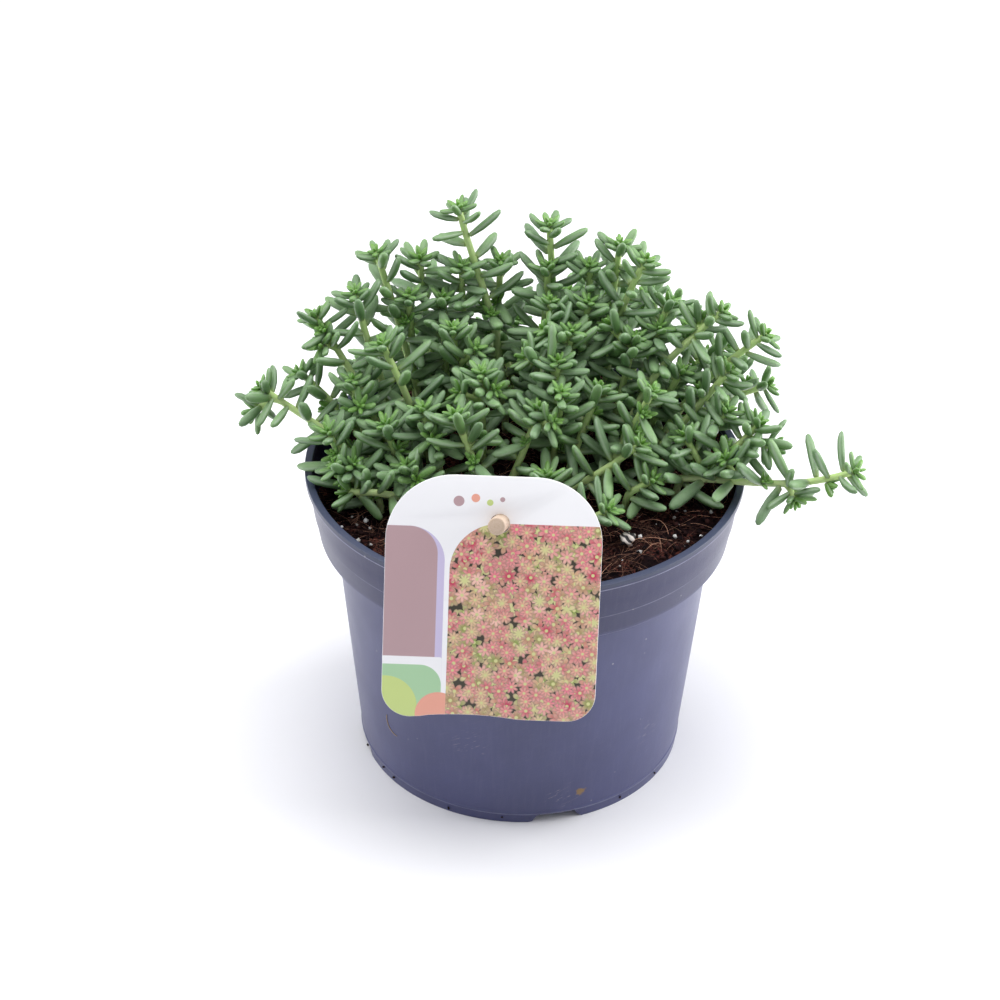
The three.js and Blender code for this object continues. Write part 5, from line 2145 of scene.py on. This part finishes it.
@dataclass(frozen=True)
class LeafShape:
    """A sausage-shaped leaf of unit size: round below, flatter above, widest past its middle."""

    around: int
    rings: int
    foot_width: float
    flatness: float
    widest: float = 0.42
    tip_from: float = 0.72

    def half_width(self, share: float) -> float:
        """Gives half the leaf's width at a share of its length, where the widest place has 1.

        Args:
            share: the share of the length, from 0 to 1.

        Returns:
            Half the width.
        """
        rise = lifted(share, 0.0, self.widest)
        swell = self.foot_width + (1.0 - self.foot_width) * rise * rise * (3.0 - 2.0 * rise)
        tip = lifted(share, self.tip_from, 1.0)
        foot = 1.0 - lifted(share, 0.0, 0.05)
        return swell * math.sqrt(max(0.0, 1.0 - tip * tip)) * math.sqrt(max(0.0, 1.0 - foot * foot))

    def mesh(self, name: str) -> Mesh:
        """Makes the leaf: x across, y up out of its upper face, z along it from 0 to 1.

        Args:
            name: the mesh's name.

        Returns:
            The mesh. Attribute "along" is the share of the length, and "edge" is 1 at the leaf's two sides.
        """
        bm = bmesh.new()
        bmesh.ops.create_uvsphere(bm, u_segments=self.around, v_segments=self.rings, radius=1.0)
        layer = bm.verts.layers.float.new("along")
        edge = bm.verts.layers.float.new("edge")
        for vert in bm.verts:
            share = (vert.co.z + 1.0) / 2.0
            width = self.half_width(share)
            round_part = vert.co.xy.normalized() if vert.co.xy.length > 1e-6 else Vector((0.0, 0.0))
            upper = self.flatness if round_part.y > 0 else 1.0
            vert.co = Vector((round_part.x * width, round_part.y * width * upper, share))
            vert[layer] = share
            vert[edge] = abs(round_part.x)
        return as_mesh(name, bm)


LEAF_SHAPES = {
    LeafKind.GROWN: LeafShape(8, 7, 0.62, 0.74),
    LeafKind.SMALL: LeafShape(6, 6, 0.70, 0.80, 0.36, 0.52),
}


@dataclass(frozen=True)
class Growth:
    """How leaves change from the tip of a stem downwards, at some of their numbers."""

    numbers: tuple[float, ...] = (0, 2, 5, 9, 12, 16, 20, 28)
    lengths: tuple[float, ...] = (2.0, 3.1, 4.7, 6.8, 9.9, 12.2, 13.2, 13.4)
    widths: tuple[float, ...] = (1.00, 1.35, 1.80, 2.28, 2.85, 3.25, 3.45, 3.50)
    angles: tuple[float, ...] = (5, 14, 27, 43, 58, 70, 80, 88)
    gaps: tuple[float, ...] = (0.10, 0.13, 0.20, 0.40, 1.15, 2.15, 2.60, 3.00)
    vigours: tuple[float, float] = (0.88, 1.08)
    low_vigour: float = 0.16
    high_tip: float = 122.0
    low_tip_under: float = 16.0
    first_down: float = 0.1
    gap_spread: tuple[float, float] = (0.85, 1.15)
    turn_spread: float = 0.08
    rosette: int = 13
    foot_from: float = 0.85
    lost: float = 0.03
    lost_at_foot: float = 0.3
    lost_under: float = 0.75
    buds: float = 0.10
    young: float = 1.0
    full_grown: float = 12.0
    length_spread: tuple[float, float] = (0.90, 1.10)
    width_spread: tuple[float, float] = (0.92, 1.08)
    width_fixed: float = 0.7
    width_of_vigour: float = 0.3
    angle_spread: tuple[float, float] = (3.0, 6.0)
    reflex: float = 40.0
    lift: float = 0.08
    level_lift: float = 0.16
    tipwards_lift: float = 0.9
    seat: float = 0.7
    thickness_shares: tuple[float, float] = (0.82, 0.94)
    curve: float = 0.08
    curve_spread: float = 0.06

    def at(self, number: float, values: tuple[float, ...]) -> float:
        """Gives a value for a leaf's number."""
        return float(np.interp(number, self.numbers, values))


@dataclass(frozen=True)
class AxilBud:
    """The small rosette that grows in a leaf's axil."""

    leaves: int = 11
    sizes: tuple[float, float] = (0.45, 0.75)
    along: float = 0.8
    lift: float = 0.35
    stalk: float = 2.2
    gap: float = 0.18
    more_angle: float = 4.0
    least_width: float = 0.25
    plumpness: float = 0.9
    curve: float = 0.06
    age_step: float = 0.02


@dataclass
class Leaves:
    """All leaves of the plant, one row for each in every list."""

    shoot: list[int] = field(default_factory=list)
    route: list[int] = field(default_factory=list)
    base: list[Array] = field(default_factory=list)
    heading: list[Array] = field(default_factory=list)
    tipwards: list[Array] = field(default_factory=list)
    length: list[float] = field(default_factory=list)
    width: list[float] = field(default_factory=list)
    thickness: list[float] = field(default_factory=list)
    curve: list[float] = field(default_factory=list)
    age: list[float] = field(default_factory=list)
    chance: list[float] = field(default_factory=list)
    fixed: list[bool] = field(default_factory=list)

    def add(self, **values: Any) -> None:
        """Adds a leaf."""
        for name, value in values.items():
            getattr(self, name).append(value)

    def settled(self) -> None:
        """Turns the lists into arrays."""
        for name, value in list(vars(self).items()):
            setattr(self, name, np.array(value))

    def keep(self, wanted: Array) -> None:
        """Keeps only some leaves."""
        for name, value in list(vars(self).items()):
            setattr(self, name, value[wanted])


@dataclass
class Surroundings:
    """What the leaves must stay clear of: the pot, the soil, the label and the peg."""

    pot: Pot
    soil: SoilBed
    label: PlantLabel
    peg: LabelPeg
    clearance: float = 0.25
    litter: float = 0.6
    label_depth: float = 14.0

    def push(self, points: Array, radii: Array) -> Array:
        """Gives the moves that bring round things at these points clear.

        Args:
            points: their middles.
            radii: their radii.

        Returns:
            A move for each.
        """
        room = radii + self.clearance
        moves = self.off_wall(points, room)
        moves += self.off_soil(points, room)
        moves += self.off_label(points, room)
        return moves + self.peg.push_off(points, room)

    def off_wall(self, points: Array, room: Array) -> Array:
        """Gives the moves off the pot's wall and lip, by the shortest way.

        Args:
            points: their middles.
            room: the room that each needs.

        Returns:
            A move for each.
        """
        out = np.linalg.norm(points[:, :2], axis=1)
        outwards = points[:, :2] / np.maximum(out, 1e-9)[:, None]
        inner = self.pot.lip_radius - self.pot.lip_width
        up = self.pot.height + room - points[:, 2]
        away = self.pot.lip_radius + room - out
        back = out - (inner - room)
        within = (up > 0) & (away > 0) & (back > 0)
        ways = np.stack([up, away, back], axis=1)
        best = np.argmin(ways, axis=1)
        moves = np.zeros_like(points)
        moves[:, 2] = np.where(within & (best == 0), up, 0.0)
        level = np.where(within & (best == 1), away, 0.0) - np.where(within & (best == 2), back, 0.0)
        moves[:, :2] += outwards * level[:, None]
        return moves

    def off_soil(self, points: Array, room: Array) -> Array:
        """Gives the moves up out of the soil.

        Args:
            points: their middles.
            room: the room that each needs.

        Returns:
            A move for each.
        """
        x, y = points[:, 0], points[:, 1]
        ground = self.soil.even_height(x, y) + self.litter
        inside = np.hypot(x, y) < self.pot.lip_radius - self.pot.lip_width
        moves = np.zeros_like(points)
        moves[:, 2] = np.where(inside, np.maximum(0.0, ground + room - points[:, 2]), 0.0)
        return moves

    def off_label(self, points: Array, room: Array) -> Array:
        """Gives the moves back behind the label.

        Args:
            points: their middles.
            room: the room that each needs.

        Returns:
            A move for each.
        """
        turn = np.array(self.label.turn.inverted())
        own = points @ turn[:3, :3].T + turn[:3, 3]
        beside = (own[:, 0] > self.label.left - room) & (own[:, 0] < self.label.right + room)
        level = (own[:, 1] > self.label.foot - room) & (own[:, 1] < self.label.top + room)
        over = own[:, 2] + room + self.label.thickness / 2
        moves = np.where(beside & level & (over > 0) & (over < self.label_depth), -over, 0.0)
        return moves[:, None] * np.array(self.label.turn)[:3, 2]


@dataclass
class Clump:
    """The stonecrop: its stems, and leaves that grow in spirals round them and press each other aside."""

    bench: Bench
    plan: StemPlan
    around: Surroundings
    stem_foot: float = 1.15
    stem_tip: float = 1.0
    stem_sides: int = 7
    ring_step: float = 2.0
    root_depth: float = 5.0
    side_foot: float = 0.86
    end_narrowing: float = 0.6
    line_step: float = 0.5
    growth: Growth = Growth()
    bud: AxilBud = AxilBud()
    bare_foot: float = 4.0
    bare_sprout: float = 2.0
    small_below: float = 5.4
    tip_cut: int = 2
    rounds: int = 30
    watched: float = 3.0
    firmness: float = 0.46
    watched_step: int = 3
    felt_at: tuple[float, ...] = (0.4, 0.7, 1.0)
    least_lever: float = 0.4
    yielding: float = 0.55
    most_move: float = 2.0
    returning: float = 0.04
    touched: tuple[float, float] = (0.22, 0.92)
    stem_touched: tuple[float, float] = (0.15, 0.95)
    too_deep: float = 0.95
    too_deep_in_pot: float = 0.7
    long_pair: float = 9.0
    kept_age: float = 0.3
    kept_age_at_stem: float = 0.2
    browning: float = 85.0
    low_browning: float = 0.15
    high_tip: float = 108.0
    low_tip_under: float = 12.0

    def build(self) -> None:
        """Makes one piece for each shoot."""
        self.pick = np.random.default_rng(SEED + 6)
        self.routes = self.plan.lay()
        self.lines = [self.smooth_line(route) for route in self.routes]
        self.leaves = Leaves()
        for number in range(len(self.routes)):
            self.clothe(number)
        self.leaves.settled()
        LOG.info("%d leaves planned", len(self.leaves.length))
        self.settle()
        finishes = [LeafSkin("leaf_skin").build(), StemSkin("stem_skin").build()]
        templates = {kind: shape.mesh(kind.value) for kind, shape in LEAF_SHAPES.items()}
        for number, shoot in enumerate(SHOOTS):
            self.build_shoot(number, shoot, finishes, templates)

    def smooth_line(self, route: Route) -> Array:
        """Draws a smooth line of close points through a route's points.

        Args:
            route: the route.

        Returns:
            The line's points.
        """
        points = route.points
        padded = np.vstack([2 * points[0] - points[1], points, 2 * points[-1] - points[-2]])
        fine = []
        for index in range(1, len(padded) - 2):
            p0, p1, p2, p3 = padded[index - 1:index + 3]
            for t in np.linspace(0.0, 1.0, 10, endpoint=False):
                fine.append(0.5 * (2 * p1 + (p2 - p0) * t + (2 * p0 - 5 * p1 + 4 * p2 - p3) * t * t
                                   + (3 * p1 - p0 - 3 * p2 + p3) * t ** 3))
        fine.append(points[-1])
        return self.plan.even(np.array(fine), self.line_step)[:-self.tip_cut]

    def clothe(self, number: int) -> None:
        """Plans a route's leaves, from the rosette at its tip down to its foot.

        Args:
            number: the route's number.
        """
        pick, growth = self.pick, self.growth
        route, line = self.routes[number], self.lines[number]
        whole = float(np.linalg.norm(np.diff(line, axis=0), axis=1).sum())
        tangents = unit(np.gradient(line, axis=0))
        low = lifted(growth.high_tip - line[-1][2], 0.0, growth.low_tip_under)
        vigour = pick.uniform(*growth.vigours) * (1.0 + growth.low_vigour * low)
        bare = self.bare_foot if route.start is None else self.bare_sprout
        turn = pick.uniform(0, FULL_TURN)
        across = unit(np.cross(tangents[-1], STEM_SLANT))
        index, down = 0, growth.first_down
        while down < whole - bare:
            at = min(len(line) - 1, int(round((1 - down / whole) * (len(line) - 1))))
            along = tangents[at]
            across = unit(across - along * float(across @ along))
            sideways = np.cross(along, across)
            turn += GOLDEN_TURN + pick.normal(0, growth.turn_spread)
            outwards = math.cos(turn) * across + math.sin(turn) * sideways
            depth = down / whole
            under = max(0.0, -float(outwards[2])) * math.hypot(along[0], along[1])
            chance = growth.lost_at_foot if depth > growth.foot_from else growth.lost
            chance += growth.lost_under * under
            if index <= growth.rosette or pick.uniform() >= chance:
                self.add_leaf(number, line[at], along, outwards, index, vigour, depth)
            if index > growth.rosette and pick.uniform() < growth.buds:
                self.add_bud(number, line[at], along, outwards)
            down += growth.at(index, growth.gaps) * pick.uniform(*growth.gap_spread)
            index += 1

    def add_leaf(self, number: int, place: Array, along: Array, outwards: Array, index: int,
                 vigour: float, depth: float) -> None:
        """Adds one leaf of a stem.

        Args:
            number: the route's number.
            place: the place on the stem's middle line.
            along: the stem's direction there, to its tip.
            outwards: the direction straight out of the stem.
            index: the leaf's number from the tip.
            vigour: how large the stem's leaves grow.
            depth: how far down the stem it is, from 0 to 1.
        """
        pick, growth = self.pick, self.growth
        grown = float(eased(np.array(float(index)), growth.young, growth.full_grown))
        length = growth.at(index, growth.lengths) * vigour * pick.uniform(*growth.length_spread)
        width = growth.at(index, growth.widths) * (growth.width_fixed + growth.width_of_vigour * vigour)
        width *= pick.uniform(*growth.width_spread)
        level = 1.0 - abs(float(along[2]))
        young_spread, more_spread = growth.angle_spread
        degrees = growth.at(index, growth.angles) + pick.normal(0, young_spread + more_spread * grown)
        angle = math.radians(degrees + growth.reflex * level * grown)
        heading = math.cos(angle) * along + math.sin(angle) * outwards
        heading = unit(heading + np.array((0.0, 0.0, growth.level_lift * level * grown + growth.lift)))
        tipwards = unit(along + np.array((0.0, 0.0, growth.tipwards_lift * level)))
        stem = self.stem_tip + (self.stem_foot - self.stem_tip) * depth
        out = math.sin(angle) * stem * growth.seat * min(1.0, index / growth.full_grown)
        self.leaves.add(
            shoot=self.routes[number].shoot, route=number, base=place + outwards * out, heading=heading,
            tipwards=tipwards, length=length, width=width,
            thickness=width * pick.uniform(*growth.thickness_shares),
            curve=pick.normal(growth.curve, growth.curve_spread), age=grown, chance=pick.uniform(),
            fixed=False)

    def add_bud(self, number: int, place: Array, along: Array, outwards: Array) -> None:
        """Adds a small rosette in a leaf's axil.

        Args:
            number: the route's number.
            place: the place on the stem's middle line.
            along: the stem's direction there, to its tip.
            outwards: the direction straight out of the stem.
        """
        pick, growth, bud = self.pick, self.growth, self.bud
        axis = unit(along * bud.along + outwards + np.array((0.0, 0.0, bud.lift)))
        across = unit(np.cross(axis, BUD_SLANT))
        sideways = np.cross(axis, across)
        size = pick.uniform(*bud.sizes)
        base = place + outwards * self.stem_tip + axis * bud.stalk * size
        turn = pick.uniform(0, ABOUT_A_TURN)
        for index in range(bud.leaves):
            turn += GOLDEN_TURN
            angle = math.radians(growth.at(index, growth.angles) + bud.more_angle)
            spread = math.cos(turn) * across + math.sin(turn) * sideways
            width = growth.at(index, growth.widths)
            self.leaves.add(
                shoot=self.routes[number].shoot, route=number, base=base - axis * bud.gap * index * size,
                heading=unit(math.cos(angle) * axis + math.sin(angle) * spread), tipwards=axis,
                length=growth.at(index, growth.lengths) * size,
                width=width * (bud.least_width + (1.0 - bud.least_width) * size),
                thickness=width * size * bud.plumpness, curve=bud.curve, age=bud.age_step * index,
                chance=pick.uniform(), fixed=True)

    def settle(self) -> None:
        """Lets the leaves press each other aside, and drops those that find no room."""
        leaves = self.leaves
        homes = leaves.heading.copy()
        radii = self.firmness * (leaves.width + leaves.thickness) / 2
        marks = [line[::self.watched_step] for line in self.lines]
        stems = np.vstack(marks)
        stem_routes = np.repeat(np.arange(len(marks)), [len(mark) for mark in marks])
        pairs = self.near_pairs(radii)
        touches = self.near_stems(stems, stem_routes)
        free = np.where(leaves.fixed, 0.0, 1.0)[:, None]
        for _ in range(self.rounds):
            shift = self.press_leaves(pairs, radii) + self.press_stems(touches, stems, radii)
            for share in self.felt_at:
                points = leaves.base + leaves.heading * (share * leaves.length - share * radii * 0.5)[:, None]
                shift += self.around.push(points, radii) * (0.5 / share)
            span = leaves.length[:, None]
            moved = leaves.heading * span
            moved += free * np.clip(self.yielding * shift, -self.most_move, self.most_move)
            leaves.heading = unit(moved + self.returning * free * span * (homes - leaves.heading))
        self.drop_crowded(pairs, touches, stems, radii)

    def near_pairs(self, radii: Array) -> Array:
        """Finds the pairs of leaves that may touch.

        Args:
            radii: the leaves' radii.

        Returns:
            Two columns of leaf numbers.
        """
        leaves = self.leaves
        middles = leaves.base + leaves.heading * (leaves.length * 0.5)[:, None]
        reach = leaves.length * 0.5 + leaves.width
        pairs = near(middles, middles, reach, reach)
        pairs = pairs[pairs[:, 0] < pairs[:, 1]]
        _, _, between = self.closest(*pairs.T)
        return pairs[np.linalg.norm(between, axis=1) < radii[pairs].sum(axis=1) + self.watched]

    def near_stems(self, stems: Array, stem_routes: Array) -> Array:
        """Finds the leaves that may touch the stem of another route.

        Args:
            stems: points on the stems.
            stem_routes: the route of each.

        Returns:
            A column of leaf numbers and one of stem points.
        """
        leaves = self.leaves
        middles = leaves.base + leaves.heading * (leaves.length * 0.5)[:, None]
        touches = near(middles, stems, leaves.length * 0.5 + self.watched, np.zeros(len(stems)))
        return touches[stem_routes[touches[:, 1]] != leaves.route[touches[:, 0]]]

    def press_leaves(self, pairs: Array, radii: Array) -> Array:
        """Gives the moves of leaf tips that other leaves push away.

        Args:
            pairs: the pairs of leaves that may touch.
            radii: the leaves' radii.

        Returns:
            A move for each leaf.
        """
        one, other = pairs.T
        first, second, between = self.closest(one, other)
        distance = np.linalg.norm(between, axis=1)
        short = np.maximum(0.0, radii[one] + radii[other] - distance)
        push = between * (0.5 * short / np.maximum(distance, 1e-6))[:, None]
        moves = gathered(len(radii), one, push / np.maximum(first, self.least_lever)[:, None])
        return moves - gathered(len(radii), other, push / np.maximum(second, self.least_lever)[:, None])

    def closest(self, one: Array, other: Array) -> tuple[Array, Array, Array]:
        """Finds where pairs of leaves come closest.

        Args:
            one: the first leaves' numbers.
            other: the second leaves' numbers.

        Returns:
            The share along each leaf, and the way from the second to the first.
        """
        leaves = self.leaves
        low, high = self.touched
        u = leaves.heading[one] * (leaves.length[one] * (high - low))[:, None]
        v = leaves.heading[other] * (leaves.length[other] * (high - low))[:, None]
        start = leaves.base[one] + leaves.heading[one] * (leaves.length[one] * low)[:, None]
        start -= leaves.base[other] + leaves.heading[other] * (leaves.length[other] * low)[:, None]
        uu, uv, vv = (u * u).sum(1), (u * v).sum(1), (v * v).sum(1)
        us, vs = (u * start).sum(1), (v * start).sum(1)
        skew = uu * vv - uv * uv
        s = np.where(skew > 1e-9, np.clip((uv * vs - vv * us) / np.maximum(skew, 1e-9), 0, 1), 0.0)
        t = np.clip((uv * s + vs) / vv, 0, 1)
        s = np.clip((uv * t - us) / uu, 0, 1)
        between = start + u * s[:, None] - v * t[:, None]
        return low + (high - low) * s, low + (high - low) * t, between

    def press_stems(self, touches: Array, stems: Array, radii: Array) -> Array:
        """Gives the moves of leaf tips that stems push away.

        Args:
            touches: the leaves and stem points that may touch.
            stems: the stem points.
            radii: the leaves' radii.

        Returns:
            A move for each leaf.
        """
        share, away = self.from_stems(touches, stems)
        distance = np.linalg.norm(away, axis=1)
        short = np.maximum(0.0, radii[touches[:, 0]] + self.stem_foot - distance)
        push = away * (short / np.maximum(distance, 1e-6) / np.maximum(share, self.least_lever))[:, None]
        return gathered(len(radii), touches[:, 0], 0.5 * push)

    def from_stems(self, touches: Array, stems: Array) -> tuple[Array, Array]:
        """Finds where leaves come closest to stem points.

        Args:
            touches: the leaves and stem points.
            stems: the stem points.

        Returns:
            The share along each leaf, and the way from the stem point to the leaf.
        """
        leaves = self.leaves
        own = touches[:, 0]
        leaf = leaves.heading[own] * leaves.length[own][:, None]
        start = stems[touches[:, 1]] - leaves.base[own]
        share = np.clip((start * leaf).sum(1) / (leaf * leaf).sum(1), *self.stem_touched)
        return share, leaf * share[:, None] - start

    def drop_crowded(self, pairs: Array, touches: Array, stems: Array, radii: Array) -> None:
        """Drops the leaves that still run deep into others, into stems or into the pot.

        Args:
            pairs: the pairs of leaves that may touch.
            touches: the leaves and stem points that may touch.
            stems: the stem points.
            radii: the leaves' radii.
        """
        leaves = self.leaves
        one, other = pairs.T
        _, _, between = self.closest(one, other)
        short = radii[one] + radii[other] - np.linalg.norm(between, axis=1)
        deep = short > self.too_deep * np.minimum(radii[one], radii[other])
        deep &= leaves.length[one] + leaves.length[other] > self.long_pair
        strangers = leaves.route[one] != leaves.route[other]
        wanted = np.ones(len(leaves.length), bool)
        for first, second in pairs[deep & strangers]:
            if wanted[first] and wanted[second]:
                older = first if leaves.age[first] > leaves.age[second] or leaves.fixed[first] else second
                wanted[older] = leaves.age[older] < self.kept_age and not leaves.fixed[older]
        _, away = self.from_stems(touches, stems)
        stabbed = radii[touches[:, 0]] + self.stem_tip - np.linalg.norm(away, axis=1) > radii[touches[:, 0]]
        wanted[touches[stabbed][:, 0]] &= leaves.age[touches[stabbed][:, 0]] < self.kept_age_at_stem
        for share in (0.5, 1.0):
            points = leaves.base + leaves.heading * (share * leaves.length - share * radii)[:, None]
            push = np.linalg.norm(self.around.push(points, radii * 0.5), axis=1)
            wanted &= ~(push > self.too_deep_in_pot * radii)
        LOG.info("%d of %d leaves dropped", int((~wanted).sum()), len(wanted))
        leaves.keep(wanted)

    def build_shoot(self, number: int, shoot: Shoot, finishes: Sequence[Material],
                    templates: dict[LeafKind, Mesh]) -> None:
        """Makes a shoot's piece: its leaves, its stem and its side sprouts.

        Args:
            number: the shoot's number.
            shoot: the shoot.
            finishes: the skins of leaves and stems.
            templates: the leaf meshes of unit size.
        """
        leaves = self.leaves
        bm = bmesh.new()
        age, _, _, _ = [bm.verts.layers.float.new(name) for name in ("age", "chance", "along", "edge")]
        for route, line in zip(self.routes, self.lines):
            if route.shoot == number:
                self.draw_stem(bm, route, line, age)
        first = len(bm.verts)
        places, ages, chances = [], [], []
        own = leaves.shoot == number
        for kind, template in templates.items():
            chosen = np.flatnonzero(own & ((leaves.length < self.small_below) == (kind is LeafKind.SMALL)))
            shape = vertex_places(template)
            add_copies(bm, template, len(chosen))
            places.append(self.leaf_places(shape, chosen).reshape(-1, 3))
            ages.append(np.repeat(leaves.age[chosen], len(shape)))
            chances.append(np.repeat(leaves.chance[chosen], len(shape)))
        mesh = as_mesh("shoot_" + shoot.name, bm)
        values = {"co": np.vstack(places), "age": np.concatenate(ages), "chance": np.concatenate(chances)}
        set_values(mesh, first, values)
        self.bench.place("plant_" + shoot.name, mesh, Slot.PLANT, finishes, ["shoot_" + shoot.name])

    def leaf_places(self, shape: Array, chosen: Array) -> Array:
        """Gives the places of some leaves' vertices.

        Args:
            shape: the vertices of the leaf of unit size.
            chosen: the leaves' numbers.

        Returns:
            The places, leaf by leaf.
        """
        leaves = self.leaves
        heading = leaves.heading[chosen][:, None]
        tipwards = leaves.tipwards[chosen][:, None]
        normal = tipwards - heading * (tipwards * heading).sum(axis=2, keepdims=True)
        weak = np.linalg.norm(normal, axis=2, keepdims=True) < 0.05
        normal = unit(np.where(weak, np.cross(heading, LEAF_SLANT), normal))
        side = np.cross(normal, heading)
        sizes = (leaves.length, leaves.width, leaves.thickness, leaves.curve)
        length, width, thickness, curve = [values[chosen][:, None, None] for values in sizes]
        x, y, along = [shape[None, :, part:part + 1] for part in range(3)]
        bent = curve * length * along * along
        return (leaves.base[chosen][:, None] + heading * length * along + side * x * width / 2
                + normal * (y * thickness / 2 + bent))

    def draw_stem(self, bm: Shape, route: Route, line: Array, age: Any) -> None:
        """Draws a route's stem as a tube that narrows to its tip.

        Args:
            bm: the shoot's mesh.
            route: the route.
            line: its smooth line.
            age: the vertices' layer for the age.
        """
        if route.start is None:
            root = line[:1] - np.array((0.0, 0.0, self.root_depth))
            line = np.vstack([root, line])
        points = self.plan.even(line, self.ring_step)
        share = np.linspace(0.0, 1.0, len(points))
        foot = self.stem_foot if route.start is None else self.side_foot
        radii = foot + (self.stem_tip - foot) * share
        radii[-1] *= self.end_narrowing
        low = lifted(self.high_tip - float(points[-1][2]), 0.0, self.low_tip_under)
        faces = len(bm.faces)
        verts = swept(bm, points, radii, self.stem_sides)
        bm.faces.ensure_lookup_table()
        for face in bm.faces[faces:]:
            face.material_index = 1
        span = float(np.linalg.norm(np.diff(points, axis=0), axis=1).sum())
        for position, vert in enumerate(verts):
            down = (1.0 - share[position // self.stem_sides]) * span
            vert[age] = min(1.0, down / self.browning + self.low_browning * low)


# Studio


@dataclass
class Studio:
    """The pale floor, the soft lights and the camera."""

    bench: Bench
    camera_place: Point = (-7.2, -737.5, 589.3)
    pitch: float = math.radians(34.44)
    roll: float = 0.015
    lens: float = 108.0
    sensor: float = 36.0
    world: Colour = (0.93, 0.94, 1.0)
    world_strength: float = 0.42
    floor_half: float = 6.0
    softboxes: tuple[tuple[str, Point, Point, float, float], ...] = (
        ("top_box", (-60, 60, 900), (0, 0, 80), 800, 7.5),
        ("right_box", (700, 120, 330), (0, 0, 70), 600, 7.0),
        ("left_box", (-700, 60, 330), (0, 0, 70), 500, 2.6))

    def build(self) -> None:
        """Makes the floor, the world, the lights and the camera."""
        bm = bmesh.new()
        bmesh.ops.create_grid(bm, x_segments=1, y_segments=1, size=self.floor_half)
        mesh = as_mesh("floor", bm)
        mesh.materials.append(PaleFloor("pale_floor").build())
        floor = linked("floor", mesh)
        world = bpy.data.worlds.new("studio")
        world.use_nodes = True
        background = world.node_tree.nodes["Background"]
        background.inputs["Color"].default_value = (*self.world, 1.0)
        background.inputs["Strength"].default_value = self.world_strength
        bpy.context.scene.world = world
        bpy.context.scene.view_settings.view_transform = "Standard"
        for softbox in self.softboxes:
            self.softbox(*softbox)
        self.place_camera()

    def softbox(self, name: str, place: Point, target: Point, size: float, power: float) -> None:
        """Makes a square soft light.

        Args:
            name: its name.
            place: where it is, in millimetres about the pot's axis.
            target: what it points at.
            size: its side, in millimetres.
            power: its power, in watts.
        """
        light = bpy.data.lights.new(name, "AREA")
        light.shape = "SQUARE"
        light.size = size * MM
        light.energy = power
        lamp = linked(name, light)
        lamp.location = self.bench.metres(place)
        aim = Vector(target) - Vector(place)
        lamp.rotation_mode = "QUATERNION"
        lamp.rotation_quaternion = aim.to_track_quat("-Z", "Y")

    def place_camera(self) -> None:
        """Makes the camera, in front of the pot and above it."""
        data = bpy.data.cameras.new("camera")
        data.lens = self.lens
        data.sensor_width = self.sensor
        camera = linked("camera", data)
        up = Vector((0.0, math.sin(self.pitch), math.cos(self.pitch)))
        right = Vector((1.0, 0.0, 0.0))
        x_axis = math.cos(self.roll) * right + math.sin(self.roll) * up
        y_axis = -math.sin(self.roll) * right + math.cos(self.roll) * up
        z_axis = x_axis.cross(y_axis)
        turn = Matrix((x_axis, y_axis, z_axis)).transposed()
        camera.matrix_world = Matrix.Translation(self.bench.metres(self.camera_place)) @ turn.to_4x4()
        bpy.context.scene.camera = camera


def main() -> None:
    """Builds the pot, the soil, the label, the peg, the plant and the studio."""
    logging.basicConfig(level=logging.INFO, format="%(relativeCreated)d ms %(message)s")
    bench = Bench()
    pot = Pot(bench)
    soil = SoilBed(bench, pot)
    label = PlantLabel(bench)
    peg = LabelPeg(bench, label)
    pot.build()
    PotDirt(bench, pot).build()
    soil.build()
    label.build()
    peg.build()
    Clump(bench, StemPlan(soil, peg), Surroundings(pot, soil, label, peg)).build()
    Studio(bench).build()


if __name__ == "__main__":
    main()
